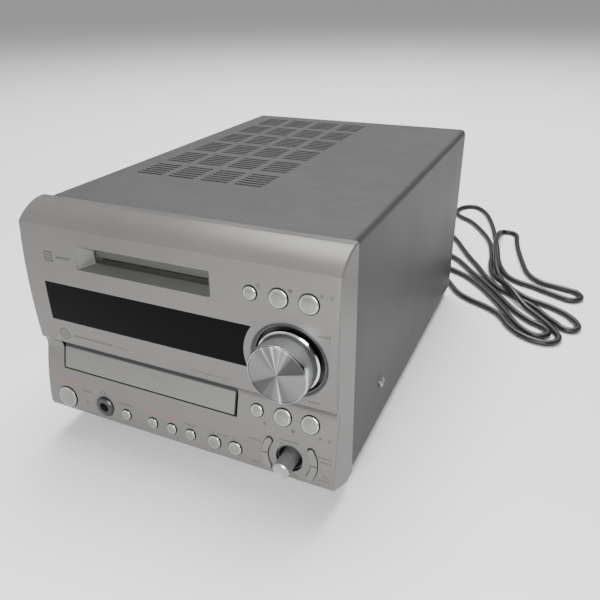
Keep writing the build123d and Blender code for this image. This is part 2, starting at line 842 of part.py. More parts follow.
def rack():
    """The toothed bar below the tray's left side."""
    pitch = math.pi * gear_module
    teeth = int(tray_travel / pitch) + 3
    left = tray_left + rack_inset
    root_x = left + rack_base
    tip_x = root_x + 1.9 * gear_module
    bottom = tray_z - rack_height - 0.4
    length = (gear_y - pitch, gear_y + (teeth - 0.5) * pitch)
    bar = block((left, root_x), length, (bottom, tray_top - 1))
    half_root = pitch / 4 + 0.34 * gear_module - gear_backlash / 4
    half_tip = pitch / 4 - 0.34 * gear_module - gear_backlash / 4
    tooth = make_face(
        Polyline(
            (root_x - 0.2, -half_root),
            (tip_x, -half_tip),
            (tip_x, half_tip),
            (root_x - 0.2, half_root),
            (root_x - 0.2, -half_root),
        )
    )
    tooth = extrude(tooth, amount=rack_height - 0.4)
    for step in range(teeth):
        bar += Pos(0, gear_y + (step - 0.5) * pitch, bottom) * tooth
    return bar


def gear_x():
    """Where the tray gear's axle stands, from the rack's pitch line."""
    pitch_line = tray_left + rack_inset + rack_base + gear_module
    return pitch_line + gear_module * gear_teeth / 2


def deck_z():
    """The top of the loader's deck that the drive stands on."""
    return tray_z - 7.0


def tray_gear():
    """The gear that drives the rack, above the pulley that the belt turns."""
    pitch_radius = gear_module * gear_teeth / 2
    outer = pitch_radius + 0.9 * gear_module
    root = pitch_radius - 1.05 * gear_module
    bottom = deck_z() + flat_gap
    pulley_top = bottom + 2.2
    top = tray_z - 0.6
    gear = upright(outer, 0, 0, (pulley_top, top))
    space = gear_space(pitch_radius, outer, root)
    for step in range(gear_teeth):
        turn = Rot(0, 0, 360 * (step + 0.5) / gear_teeth)
        gear -= turn * (Pos(0, 0, pulley_top) * extrude(space, amount=top - pulley_top))
    pulley = upright(pulley_radius, 0, 0, (bottom, pulley_top))
    groove = upright(pulley_radius + 1, 0, 0, (bottom + 0.4, pulley_top - 0.4))
    groove -= upright(pulley_radius - groove_depth, 0, 0, (bottom, pulley_top))
    gear += pulley - groove
    gear -= upright(post_radius + running_gap, 0, 0, (bottom - 1, top + 1))
    return Pos(gear_x(), gear_y, 0) * gear


def gear_space(pitch_radius, outer, root):
    """The gap between two teeth, symmetric about X."""
    half_pitch = math.pi * gear_module / 4 + gear_backlash / 2
    rise = outer - pitch_radius
    outer_half = half_pitch + rise * 0.45
    root_half = half_pitch - (pitch_radius - root) * 0.45
    far = outer + 0.5
    far_half = outer_half + 0.2
    corners = [(root, -root_half), (far, -far_half), (far, far_half), (root, root_half)]
    return make_face(Polyline(*corners, corners[0]))


def motor_pulley():
    """The small pulley on the loading motor's shaft, with the shaft."""
    bottom = deck_z() + flat_gap
    top = bottom + 2.2
    pulley = upright(motor_pulley_radius, 0, 0, (bottom, top))
    groove = upright(motor_pulley_radius + 1, 0, 0, (bottom + 0.4, top - 0.4))
    groove -= upright(motor_pulley_radius - groove_depth, 0, 0, (bottom, top))
    pulley -= groove
    pulley += upright(spindle_radius, 0, 0, (bottom - 6, top + 1))
    return Pos(gear_x(), motor_y, 0) * pulley


def loading_motor():
    """The tray's motor below the deck, flat on two sides."""
    top = deck_z() - 1.5
    body = upright(motor_radius, 0, 0, (top - motor_length, top))
    flat = motor_radius - 1.5
    body = body & block((-motor_radius, motor_radius), (-flat, flat), (0, top + 5))
    body -= upright(spindle_radius + running_gap, 0, 0, (top - 6, top + 1))
    return Pos(gear_x(), motor_y, 0) * body


def loading_belt():
    """The rubber belt round the motor's pulley and the gear's pulley."""
    z = deck_z() + flat_gap + 0.5
    near = pulley_radius - groove_depth + running_gap
    far = motor_pulley_radius - groove_depth + running_gap
    span = motor_y - gear_y

    def loop(extra):
        lean = math.asin((near - far) / span)
        side = math.cos(lean)
        rise = math.sin(lean)
        big = near + extra
        small = far + extra
        near_right = (big * side, big * rise)
        far_right = (small * side, span + small * rise)
        near_left = (-big * side, big * rise)
        far_left = (-small * side, span + small * rise)
        outline = Line(near_right, far_right)
        outline += ThreePointArc(far_right, (0, span + small), far_left)
        outline += Line(far_left, near_left)
        outline += ThreePointArc(near_left, (0, -big), near_right)
        return make_face(outline)

    belt = extrude(loop(belt_thickness) - loop(0), amount=belt_width)
    return Pos(gear_x(), gear_y, z) * belt


def loader_frame():
    """The loader's open frame: side walls, tray ledges, deck, pivot ears and ears to the bracket."""
    back = loader_back
    depth = (-loader_front, back)
    walls = block((frame_left, frame_right), depth, (loader_bottom, loader_top))
    inside = (frame_left + loader_wall, frame_right - loader_wall)
    walls -= block(inside, (depth[0] - 1, back - 3), (loader_bottom - 1, loader_top + 1))
    frame = walls
    for wall, way in ((inside[0], 1), (inside[1], -1)):
        x = sorted((wall, wall + way * ledge))
        frame += block(x, depth, (tray_z - 0.2 - ledge_thickness, tray_z - 0.2))
        hold_down = tray_top + flat_gap
        for y in (depth[0], 70, 135):
            frame += block(x, (y, y + 18), (hold_down, hold_down + ledge_thickness))
    cross_top = tray_z - rack_height - 0.9
    frame += block(inside, (depth[0], depth[0] + 3), (loader_bottom, cross_top))
    frame += loader_deck(inside[0], depth[0])
    frame += pivot_ears()
    for x in ((bracket_left, frame_left), (frame_right, bracket_right)):
        for y in (24, 84):
            frame += block(x, (y, y + 12), (tray_z, tray_z + 8))
    return frame


def loader_deck(wall_x, front):
    """The deck that carries the tray gear and the loading motor."""
    x = (wall_x, tray_x - traverse_width / 2 - 2)
    deck = block(x, (front, motor_y + motor_radius + 4), (deck_z() - 1.5, deck_z()))
    deck -= upright(spindle_radius + 1.5, gear_x(), motor_y, (deck_z() - 3, deck_z() + 1))
    return deck + upright(post_radius, gear_x(), gear_y, (deck_z() - 1, tray_z - 0.4))


def pivot_ears():
    """Two ears from the rear wall, with the holes that the traverse swings in."""
    ears = []
    reach = traverse_width / 2
    for side in (-1, 1):
        x = sorted((tray_x + side * (reach + 0.3), tray_x + side * (reach + 4.3)))
        ear = block(x, (pivot_y - 5, loader_back - 3), (traverse_z - 5, traverse_z + 3))
        hole = (x[0] - 1, x[1] + 1)
        ears.append(ear - crosswise(pivot_radius + running_gap, hole, pivot_y, pivot_middle()))
    return ears[0] + ears[1]


def pivot_middle():
    """The height of the traverse's pivot."""
    return traverse_z - traverse_thickness / 2


def traverse():
    """The lifting plate with the pickup's rails and the pins that it swings on."""
    reach = traverse_width / 2
    z = (traverse_z - traverse_thickness, traverse_z)
    plate = block((tray_x - reach, tray_x + reach), (traverse_front, pivot_y + 3), z)
    corners = plate.edges().filter_by(Axis.Z)
    plate = fillet(corners, 2)
    opening = (tray_x - pickup_width / 2 - 3, tray_x + pickup_width / 2 + 3)
    plate -= block(opening, (pickup_start - 4, pivot_y - 14), (z[0] - 1, z[1] + 1))
    plate -= upright(4, tray_x, disc_y, (z[0] - 1, z[1] + 1))
    rail_ends = (pickup_start - 6, pivot_y - 12)
    for side in (-1, 1):
        x = tray_x + side * rail_spread
        for y in rail_ends:
            plate += block((x - 2.5, x + 2.5), (y - 2, y + 2), (traverse_z, traverse_z + 5.5))
        plate += lengthwise(rail_radius, x, rail_ends, traverse_z + 3.2)
        pin = sorted((tray_x + side * (reach - 1), tray_x + side * (reach + 3.8)))
        plate += crosswise(pivot_radius, pin, pivot_y, pivot_middle())
    return plate


def spindle_motor():
    """The flat motor below the traverse that turns the disc."""
    top = traverse_z - traverse_thickness
    body = upright(11, tray_x, disc_y, (top - 7, top))
    body = fillet(body.faces().sort_by(Axis.Z)[0].edges(), 1)
    return body - upright(spindle_radius + running_gap, tray_x, disc_y, (top - 5, top + 1))


def turntable():
    """The disc's seat, its centring cone and the spindle it turns with."""
    motor_top = traverse_z - traverse_thickness
    seat = upright(turntable_radius, 0, 0, (disc_seat - 2.5, disc_seat))
    seat += upright(5.5, 0, 0, (traverse_z + 0.8, disc_seat - 2))
    cone = Cone(7.3, 5.6, 2.4, align=BOTTOM)
    seat += Pos(0, 0, disc_seat) * cone
    seat += upright(spindle_radius, 0, 0, (motor_top - 4.5, disc_seat))
    return Pos(tray_x, disc_y, 0) * seat


def optical_pickup():
    """The laser sled that runs on the traverse's rails."""
    y = (pickup_start, pickup_start + pickup_length)
    half = pickup_width / 2
    top = traverse_z + 6.6
    sled = block((tray_x - half, tray_x + half), y, (traverse_z - 3, top))
    sled = fillet(sled.edges().filter_by(Axis.Z), 2)
    for side in (-1, 1):
        x = sorted((tray_x + side * (half - 1), tray_x + side * (rail_spread + 2.8)))
        ear = block(x, (y[0] + 4, y[1] - 4), (traverse_z + 0.8, traverse_z + 5.6))
        hole = (y[0] - 1, y[1] + 1)
        rail_x = tray_x + side * rail_spread
        ear -= lengthwise(rail_radius + running_gap, rail_x, hole, traverse_z + 3.2)
        sled += ear
    lens = upright(3.2, tray_x, y[0] + 7, (top, top + 1.6))
    return sled + fillet(lens.faces().sort_by(Axis.Z)[-1].edges(), 0.8)


def clamper_bridge():
    """The bridge over the tray that the disc clamper hangs in."""
    z = (loader_top, loader_top + 1.6)
    bridge = block((frame_left, frame_right), (disc_y - 24, disc_y + 24), z)
    bridge -= upright(bridge_hole_radius, tray_x, disc_y, (z[0] - 1, z[1] + 1))
    for x in (frame_left + 22, frame_right - 22):
        bridge -= block((x - 10, x + 10), (disc_y - 14, disc_y + 14), (z[0] - 1, z[1] + 1))
    return fillet(bridge.edges().filter_by(Axis.Z), 1.5)


def disc_clamper():
    """The free disc that presses a CD onto the turntable."""
    rim = loader_top + 1.6 + flat_gap
    clamper = upright(clamper_radius, 0, 0, (rim, rim + 2))
    clamper += upright(clamper_body_radius, 0, 0, (disc_seat + 3.2, rim))
    clamper -= upright(9, 0, 0, (rim - 6, rim + 3))
    return Pos(tray_x, disc_y, 0) * clamper


def md_mechanism():
    """The MiniDisc loader: base, side walls, disc holder, lid, spindle motor and sled rails."""
    x = (md_slot_x - md_mech_width / 2, md_slot_x + md_mech_width / 2)
    y = (-md_mech_front, md_mech_back)
    bottom = bracket_shelf()
    top = panel_top - 11.6
    frame = block(x, y, (bottom, bottom + 1.5))
    frame += block((x[0], x[0] + 1.5), y, (bottom, top))
    frame += block((x[1] - 1.5, x[1]), y, (bottom, top))
    lid = block(x, (y[0] + 12, y[1]), (top - 1.5, top))
    lid -= upright(22, md_slot_x, 30, (top - 3, top + 1))
    frame += lid
    frame += block(x, (md_mech_back - 1.5, md_mech_back), (bottom, top))
    holder_x = (md_slot_x - md_cavity_width / 2 - 1.2, md_slot_x + md_cavity_width / 2 + 1.2)
    half_height = md_cavity_height / 2
    holder_z = (md_mouth_z - half_height - 1.2, md_mouth_z + half_height + 1.2)
    holder = block(holder_x, (y[0], md_cavity_back + 1.2), holder_z)
    cavity_x = (holder_x[0] + 1.2, holder_x[1] - 1.2)
    cavity_z = (holder_z[0] + 1.2, holder_z[1] - 1.2)
    holder -= block(cavity_x, (y[0] - 1, md_cavity_back), cavity_z)
    frame += holder
    for px in (holder_x[0] - 4, holder_x[1] + 4):
        ends = sorted((px, px - math.copysign(5, px - md_slot_x)))
        frame += block(ends, (20, 50), (bottom, md_mouth_z))
    frame += upright(10, md_slot_x, 30, (bottom, holder_z[0]))
    frame += block((md_slot_x - 14, md_slot_x + 14), (68, 80), (bottom, bottom + 12))
    return frame


def bracket_shelf():
    """The top of the shelf that the MiniDisc mechanism stands on."""
    return md_mouth_z - 14.1


def mechanism_bracket():
    """The bent steel bridge that carries the MiniDisc mechanism and the CD loader."""
    depth = (bracket_front, bracket_back)
    shelf_top = bracket_shelf()
    left = bracket_left - bracket_wall
    right = bracket_right + bracket_wall
    base = case_bottom + sheet
    bracket = block((left, right), depth, (base, shelf_top))
    inside = (bracket_left, bracket_right)
    bracket -= block(inside, (0, 2 * bracket_back), (0, shelf_top - bracket_wall))
    bracket = fillet(bracket.edges().filter_by(Axis.Y).group_by(Axis.Z)[-1], 2.5)
    for x in ((bracket_left, bracket_left + 9), (bracket_right - 9, bracket_right)):
        bracket += block(x, (depth[0], depth[0] + 14), (base, base + bracket_wall))
        bracket += block(x, (depth[1] - 14, depth[1]), (base, base + bracket_wall))
    for x in (-60, 14):
        bracket -= block((x, x + 28), (30, 80), (shelf_top - 5, shelf_top + 1))
    return bracket


def top_cover():
    """The folded cover, with its patches of vent slots."""
    outer = Rectangle(case_width, case_height, align=(Align.CENTER, Align.MIN))
    outer = fillet(outer.vertices().group_by(Axis.Y)[-1], bend_radius)
    inner = Rectangle(case_width - 2 * sheet, case_height - sheet, align=(Align.CENTER, Align.MIN))
    inner = fillet(inner.vertices().group_by(Axis.Y)[-1], bend_radius - sheet)
    cover = extrude(Plane.XZ * (outer - inner), amount=-case_depth)
    cover = Pos(0, 0, case_bottom) * cover
    slots = []
    for column in range(vent_columns):
        for row in range(vent_rows):
            x = vent_x + column * vent_column_pitch
            y = vent_y + row * vent_row_pitch
            slots += vent_patch(x, y)
    cover -= slots
    for side in (-1, 1):
        hole = sorted((side * (case_half - 2 * sheet), side * (case_half + 1)))
        cover -= crosswise(2.0, hole, side_screw_y, case_bottom + side_screw_rise)
    return cover


def vent_patch(x, y):
    """One patch of slots."""
    first = -(vent_slots - 1) / 2
    half = vent_width / 2
    patch = []
    for step in range(vent_slots):
        middle_y = y + (first + step) * vent_slot_pitch
        depth = (middle_y - vent_slot / 2, middle_y + vent_slot / 2)
        patch.append(block((x - half, x + half), depth, (case_top - 3 * sheet, case_top + 1)))
    return patch


def chassis_base():
    """The bottom sheet with its folded edges and the posts of the main board."""
    top = case_bottom + sheet
    base = block((-inner_half, inner_half), (0, case_depth), (case_bottom, top))
    for side in (-1, 1):
        edge = sorted((side * (inner_half - sheet), side * inner_half))
        base += block(edge, (0, case_depth - 2 * sheet), (case_bottom, case_bottom + 34))
    base += block((-inner_half, inner_half), (0, sheet), (case_bottom, case_bottom + 12))
    for x in range(-80, -20, 12):
        base -= block((x, x + 4), (loader_back + 20, case_depth - 30), (case_bottom - 1, top + 1))
    for side in (-1, 1):
        hole = sorted((side * (inner_half - 2 * sheet), side * (inner_half + 1)))
        base -= crosswise(1.6, hole, side_screw_y, case_bottom + side_screw_rise)
    for x, y in standoffs():
        base += upright(3, x, y, (top, board_bottom))
    return base


def standoffs():
    """Where the main board is held."""
    left = board_left + 11
    right = board_right - 10
    back = board_end - 6
    return [(left, 16), (right, 16), (left, 150), (right, 150), (left, back), (board_rear_right - 8, back)]


def feet():
    """Four round feet with a softened lower edge."""
    places = [(x, y) for x in (-foot_x, foot_x) for y in (foot_front, foot_back)]
    shapes = []
    for x, y in places:
        foot = upright(foot_radius, x, y, (0, case_bottom))
        shapes.append(chamfer(foot.faces().sort_by(Axis.Z)[0].edges(), 1.2))
    return Compound(shapes)


def screw(place):
    """A cross-head screw whose shank points along the place's own Z, seen from its head."""
    head = Cylinder(screw_radius, 1.8, align=TOP)
    head = chamfer(head.faces().sort_by(Axis.Z)[0].edges(), 0.7)
    head -= Pos(0, 0, -1.8) * (Box(3.6, 0.9, 1.6) + Box(0.9, 3.6, 1.6))
    shank = Cylinder(1.5, 2.8, align=BOTTOM)
    return place.location * (head + shank)


def rear_screw_places():
    """The screws that hold the rear panel, as places across and height."""
    upper_x = case_half - rear_screw_inset
    upper_z = case_top - rear_screw_drop
    side_x = case_half - rear_side_screw_inset
    side_z = case_bottom + rear_side_screw_rise
    return [(-upper_x, upper_z), (0, upper_z), (upper_x, upper_z), (-side_x, side_z), (side_x, side_z)]


def cover_screws():
    """One screw in each side of the cover and five in the rear panel."""
    screws = []
    z = case_bottom + side_screw_rise
    for side in (-1, 1):
        place = Plane(origin=(side * case_half, side_screw_y, z), z_dir=(-side, 0, 0))
        screws.append(screw(place))
    for x, z in rear_screw_places():
        screws.append(screw(Plane(origin=(x, case_depth, z), z_dir=(0, -1, 0))))
    return Compound(screws)


def rear_panel():
    """The rear sheet, with its openings for the terminals, the antenna and the cord."""
    y = (case_depth - sheet, case_depth)
    bottom = case_bottom + sheet
    panel = block((-inner_half, inner_half), y, (bottom, case_top - sheet - flange_gap))
    top_corners = panel.edges().filter_by(Axis.Y).group_by(Axis.Z)[-1]
    panel = fillet(top_corners, bend_radius - sheet)
    cut_y = (y[0] - 1, y[1] + 1)
    for x, rise in ((speaker_x, speaker_rise), (line_x, line_rise), (antenna_x, antenna_rise)):
        panel -= block(x, cut_y, above_base(rise))
    panel -= lengthwise(exit_hole_radius, exit_x, cut_y, exit_z)
    for x, z in rear_screw_places():
        panel -= lengthwise(1.6, x, cut_y, z)
    for step in range(rear_vents):
        x = rear_vent_x + step * rear_vent_pitch
        panel -= block((x, x + rear_vent_width), cut_y, above_base(rear_vent_rise))
    return panel


def above_base(rise):
    """Two heights that are given above the case's bottom."""
    return case_bottom + rise[0], case_bottom + rise[1]


def grown(limits, extra):
    """A pair of limits moved apart on both sides."""
    return limits[0] - extra, limits[1] + extra


def terminal_plate(x, rise, depth_inside):
    """A moulded block in a rear opening, with a rim outside."""
    z = above_base(rise)
    inside = (case_depth - depth_inside, case_depth)
    body = block(grown(x, -fit_gap), inside, grown(z, -fit_gap))
    outside = (case_depth, case_depth + rear_rim)
    return body + block(grown(x, rear_rim), outside, grown(z, rear_rim))


def speaker_terminals():
    """Four screw terminals in a black block."""
    terminals = terminal_plate(speaker_x, speaker_rise, 12)
    middle_x = sum(speaker_x) / 2
    middle_z = sum(above_base(speaker_rise)) / 2
    for x in (-19.5, -6.5, 6.5, 19.5):
        post = lengthwise(2.6, middle_x + x, (case_depth, case_depth + 5), middle_z)
        cap_y = (case_depth + 4, case_depth + terminal_proud)
        cap = facing_back(middle_x + x, cap_y[0], middle_z)
        outline = RegularPolygon(5.2, 12)
        terminals += post + cap * extrude(outline, amount=cap_y[1] - cap_y[0])
    return terminals


def line_jacks():
    """Two rows of pin jacks in one plate."""
    jacks = terminal_plate(line_x, line_rise, 14)
    middle_x = sum(line_x) / 2
    middle_z = sum(above_base(line_rise)) / 2
    for column in range(4):
        for row in (-0.5, 0.5):
            x = middle_x + (column - 1.5) * jack_pitch
            z = middle_z + row * jack_pitch
            jack = lengthwise(4.2, x, (case_depth, case_depth + 9), z)
            jacks += jack - lengthwise(1.7, x, (case_depth + 2, case_depth + 10), z)
    return jacks


def tuner_module():
    """The screened tuner, with the antenna plate that shows through the rear panel."""
    can_z = grown(above_base(antenna_rise), 4)
    can = block(grown(antenna_x, 3), (case_depth - 42, case_depth - 8), can_z)
    can = fillet(can.edges().filter_by(Axis.Z), 1)
    plate = terminal_plate(antenna_x, antenna_rise, 10)
    z = sum(can_z) / 2
    coax_x = antenna_x[0] + 14
    coax = lengthwise(4.7, coax_x, (case_depth, case_depth + 10), z)
    coax -= lengthwise(1.5, coax_x, (case_depth + 3, case_depth + 11), z)
    clips_x = (coax_x + 14, coax_x + 34)
    clips = block(clips_x, (case_depth, case_depth + 8), (z - 7, z + 7))
    for x in grown(clips_x, -5):
        clips -= lengthwise(2.2, x, (case_depth + 3, case_depth + 9), z + 2)
    return can + plate + coax + clips


def main_board():
    """The main board, with its large capacitors and a few chips."""
    top = board_bottom + board_thickness
    board = block((board_left, board_right), (8, loader_back), (board_bottom, top))
    board += block((board_left, board_rear_right), (loader_back, board_end), (board_bottom, top))
    first = loader_back + 36
    large = [(-30, first, 11, 38), (-30, first + 28, 11, 38)]
    small = [(2, first, 8, 24), (2, first + 24, 8, 24)]
    for x, y, radius, height in large + small:
        can = upright(radius, x, y, (top, top + height))
        board += chamfer(can.faces().sort_by(Axis.Z)[-1].edges(), 0.8)
    for x, y, width, depth in ((-24, 60, 22, 22), (16, 110, 16, 16), (-30, 150, 28, 9)):
        board += block((x, x + width), (y, y + depth), (top, top + 2.6))
    return board


def heat_sink():
    """The amplifier's heat sink: upright fins on a thick back, with two power devices."""
    bottom = board_bottom + board_thickness
    top = bottom + sink_height
    depth = (loader_back + 18, case_depth - 18)
    back_x = (sink_left + sink_fin_length, sink_left + sink_fin_length + sink_base)
    back = block(back_x, depth, (bottom, top))
    pitch = (depth[1] - depth[0] - sink_fin) / (sink_fins - 1)
    for step in range(sink_fins):
        y = depth[0] + step * pitch
        back += block((sink_left, back_x[0] + 1), (y, y + sink_fin), (bottom, top))
    for y in (depth[0] + 20, depth[0] + 50):
        back += block((back_x[1], back_x[1] + 5), (y, y + 16), (bottom + 10, bottom + 32))
    return back


def transformer_core():
    """The transformer's laminated core, an E and I stack round its winding, on the base."""
    half_width = core_width / 2
    half_depth = core_depth / 2
    bottom = case_bottom + sheet
    x = (transformer_x - half_width, transformer_x + half_width)
    y = (transformer_y - half_depth, transformer_y + half_depth)
    core = block(x, y, (bottom, bottom + core_height))
    leg = core_width / 6
    for side in (-1, 1):
        middle_x = transformer_x + side * core_width / 4
        window = (middle_x - leg / 2, middle_x + leg / 2)
        core -= block(window, (y[0] - 1, y[1] + 1), (bottom + leg, bottom + core_height - leg))
    for side in (-1, 1):
        tab = sorted((transformer_x + side * half_width, transformer_x + side * (half_width + 8)))
        core += block(tab, (transformer_y - 8, transformer_y + 8), (bottom, bottom + 2))
    return core


def transformer_winding():
    """The winding round the core's middle leg, bulging out of the core on both sides."""
    bottom = case_bottom + sheet
    leg = core_width / 6
    outer_x = leg + leg - flat_gap
    outer_y = core_depth / 2 + leg - 1
    low_z = bottom + leg + flat_gap
    high_z = bottom + core_height - leg - flat_gap
    coil = Box(2 * outer_x, 2 * outer_y, high_z - low_z, align=BOTTOM)
    coil = fillet(coil.edges().filter_by(Axis.Z), 4)
    bore = 2 * (leg + flat_gap)
    coil -= Box(bore, core_depth + 2 * flat_gap, 3 * core_height)
    return Pos(transformer_x, transformer_y, low_z) * coil


def strain_relief():
    """The ribbed boot that the mains cord leaves the rear panel through."""
    collar = lengthwise(6.9, exit_x, (case_depth - 3, case_depth), exit_z)
    collar += lengthwise(8.6, exit_x, (case_depth, case_depth + 3), exit_z)
    boot = Cone(6.4, cord_diameter / 2 + 0.6, relief_length - 3, align=BOTTOM)
    boot = facing_back(exit_x, case_depth + 3, exit_z) * boot
    for step in range(4):
        y = case_depth + 7 + step * 4.2
        groove = lengthwise(9, exit_x, (y, y + 1.4), exit_z)
        groove -= lengthwise(cord_diameter / 2 + 0.4, exit_x, (y - 1, y + 3), exit_z)
        boot -= groove
    return collar + boot


def corner_radii(points):
    """The largest radius that each corner's two runs leave room for."""
    radii = []
    for before, corner, after in zip(points, points[1:], points[2:]):
        run_in = Vector(corner) - Vector(before)
        run_out = Vector(after) - Vector(corner)
        half_turn = math.radians(run_in.get_angle(run_out)) / 2
        radii.append(0.45 * min(run_in.length, run_out.length) / math.tan(half_turn))
    return radii


def cord_tube(name, points):
    """A tube of the cord's size along a route of straight runs joined by arcs."""
    radii = corner_radii(points)
    route = FilletPolyline(*points, radius=radii)
    start = Plane(origin=route @ 0, z_dir=route % 0)
    section = RegularPolygon(cord_diameter / 2, cord_sides)
    tube = sweep(start * section, path=route)
    share = tube.volume / (section.area * route.length)
    print(name, "length", round(route.length), "mm, volume over section times length", round(share, 4))
    print(name, "radii", [round(radius, 1) for radius in radii])
    return tube, route


def own_gap(route):
    """The least gap between two turns of the cord, measured on points along it."""
    count = int(route.length / 1.5)
    spots = [route.position_at(step / count) for step in range(count + 1)]
    apart = int(4 * cord_diameter / 1.5)
    least = min(
        (spots[one] - spots[two]).length
        for one in range(0, count)
        for two in range(one + apart, count + 1)
        if abs(spots[one].X - spots[two].X) < 12 and abs(spots[one].Y - spots[two].Y) < 12
    )
    return least - cord_diameter


def power_plug():
    """The two-blade plug at the cord's end, lying on the table."""
    end = Vector(cord_folds[-1])
    way = end - Vector(cord_folds[-2])
    place = Plane(origin=end, x_dir=(-way.Y, way.X, 0), z_dir=way)
    length, width, height = plug_body
    neck = Cone(cord_diameter / 2 + 0.6, 5.2, 10, align=BOTTOM)
    body = Box(width, height, length, align=BOTTOM)
    body = fillet(body.edges().filter_by(Axis.Z), 3)
    plug = neck + Pos(0, 0, 9) * body
    for side in (-1, 1):
        blade = Box(1.5, 6.3, 17, align=BOTTOM)
        plug += Pos(side * blade_pitch / 2, 0, 9 + length) * blade
    return place.location * plug


def main():
    """Build every node and write it."""
    os.makedirs("parts", exist_ok=True)
    save("front_panel", front_panel())
    save("display_window", display_window())
    save("display_module", display_module())
    save("md_slot_door", md_slot_door())
    for name, radius, x, z in round_holes():
        save(name, push_button(radius, x, z))
    for side, side_name in ((-1, "left"), (1, "right")):
        for up, up_name in ((-1, "lower"), (1, "upper")):
            save(f"{up_name}_{side_name}_key", arc_key(side, up))
    save("front_board", front_board())
    encoders = [encoder(volume_x, volume_z), encoder(selector_x, selector_z)]
    save("rotary_encoders", Compound(encoders))
    volume_front = face_y(volume_z) + volume_chamfer
    save("volume_well", well(volume_hole_radius, volume_x, volume_z, volume_front))
    selector_front = face_y(selector_z + selector_hole_radius) + flat_gap
    save("selector_well", well(selector_hole_radius, selector_x, selector_z, selector_front))
    save("volume_knob", volume_knob())
    save("volume_knob_face", volume_knob_face())
    save("selector_knob", selector_knob())
    save("headphone_jack", headphone_jack())
    save("cd_tray_door", tray_door())
    save("cd_tray", cd_tray())
    save("tray_gear", tray_gear())
    save("motor_pulley", motor_pulley())
    save("loading_motor", loading_motor())
    save("loading_belt", loading_belt())
    save("loader_frame", loader_frame())
    save("traverse", traverse())
    save("spindle_motor", spindle_motor())
    save("turntable", turntable())
    save("optical_pickup", optical_pickup())
    save("clamper_bridge", clamper_bridge())
    save("disc_clamper", disc_clamper())
    save("md_mechanism", md_mechanism())
    save("mechanism_bracket", mechanism_bracket())
    save("top_cover", top_cover())
    save("chassis_base", chassis_base())
    save("feet", feet())
    save("cover_screws", cover_screws())
    save("rear_panel", rear_panel())
    save("speaker_terminals", speaker_terminals())
    save("line_jacks", line_jacks())
    save("tuner_module", tuner_module())
    save("main_board", main_board())
    save("heat_sink", heat_sink())
    save("transformer_core", transformer_core())
    save("transformer_winding", transformer_winding())
    save("strain_relief", strain_relief())
    cord, _ = cord_tube("power_cord", cord_start + [hank_split])
    save("power_cord", cord)
    hank, hank_route = cord_tube("cord_hank", [hank_split] + cord_folds)
    print("cord_hank least gap to itself", round(own_gap(hank_route), 2), "mm")
    save("cord_hank", hank)
    save("power_plug", power_plug())


main()
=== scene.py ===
import math

import bmesh
import bpy
from mathutils import Matrix, Vector
from mathutils.bvhtree import BVHTree


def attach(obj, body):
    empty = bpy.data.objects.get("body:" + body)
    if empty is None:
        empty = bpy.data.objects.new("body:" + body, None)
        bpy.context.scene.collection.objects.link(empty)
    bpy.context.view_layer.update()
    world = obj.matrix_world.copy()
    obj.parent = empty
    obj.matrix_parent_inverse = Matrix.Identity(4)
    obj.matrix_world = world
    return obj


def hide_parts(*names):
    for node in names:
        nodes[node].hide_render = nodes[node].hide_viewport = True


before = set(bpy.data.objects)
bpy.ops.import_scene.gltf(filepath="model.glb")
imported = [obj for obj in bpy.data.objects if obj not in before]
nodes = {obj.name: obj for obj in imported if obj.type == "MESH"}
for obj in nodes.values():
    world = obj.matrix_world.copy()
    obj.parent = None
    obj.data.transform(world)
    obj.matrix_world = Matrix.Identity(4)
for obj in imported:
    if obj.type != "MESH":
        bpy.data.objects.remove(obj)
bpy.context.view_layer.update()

# Sizes in millimetres, drawn with Y 0 where the panel meets the cover
MM = 0.001
MIDDLE_Y = 126.978
CASE_DEPTH = 280.0
# The face from bottom to top in three bowed parts: height and reach of both ends, and the bow
FACE_PARTS = (
    (26.0, 29.4, 64.0, 22.5, 1.02),
    (64.0, 22.5, 72.8, 25.0, -0.9),
    (72.8, 25.0, 149.5, 22.3, 1.74),
)
FACE_SIDE = 100.9
# The MiniDisc recess, as limits across and in height, and where a painted shadow starts at the right end of
# the tray's front
RECESS_X = (-60.5, 30.5)
RECESS_Z = (125.8, 141.4)
DOOR_SHADE_START = 39.2
# The volume knob: its place on the face, its hole and the hole's bevel, its reach, foot and rim
VOLUME = (75.1, 98.7)
VOLUME_HOLE = 21.0
VOLUME_BEVEL = 22.35
KNOB_FRONT = 14.4
KNOB_FOOT = 1.7
KNOB_RIM = 0.35
# Round buttons: the gap round a cap, how far its edge stands out, its dome and its plated rim
BUTTON_GAP = 0.5
BUTTON_PROUD = 1.3
BUTTON_DOME = 0.6
BUTTON_RIM = 1.15
# The back: the speaker posts across, half a post's cap, and how far caps and socket plates reach
POSTS = (-75.5, -62.5, -49.5, -36.5)
POST_HALF = 6.4
POST_FRONT = 3.9
PLATE_FRONT = 2.05
# The cord, with the heights of its middle on the table, on the way up to a crossing and over it
CORD_DIAMETER = 5.4
TABLE = CORD_DIAMETER / 2 + 0.05
LOW = 6.0
HIGH = 9.0
PLUG_BODY = 33.1


def at(x, y, z):
    """A point in metres in the frame, from millimetres on the drawing."""
    return Vector((x * MM, (y - MIDDLE_Y) * MM, z * MM))


def face_reach(z):
    """How far the face stands in front of the junction at a height."""
    part = next(part for part in FACE_PARTS if z <= part[2] or part is FACE_PARTS[-1])
    low_z, low_reach, high_z, high_reach, bow = part
    share = (z - low_z) / (high_z - low_z)
    return low_reach + (high_reach - low_reach) * share + 4 * bow * share * (1 - share)


def new_object(name, data):
    """An object with its data, linked to the scene."""
    made = bpy.data.objects.new(name, data)
    bpy.context.scene.collection.objects.link(made)
    return made


# The camera and the cord

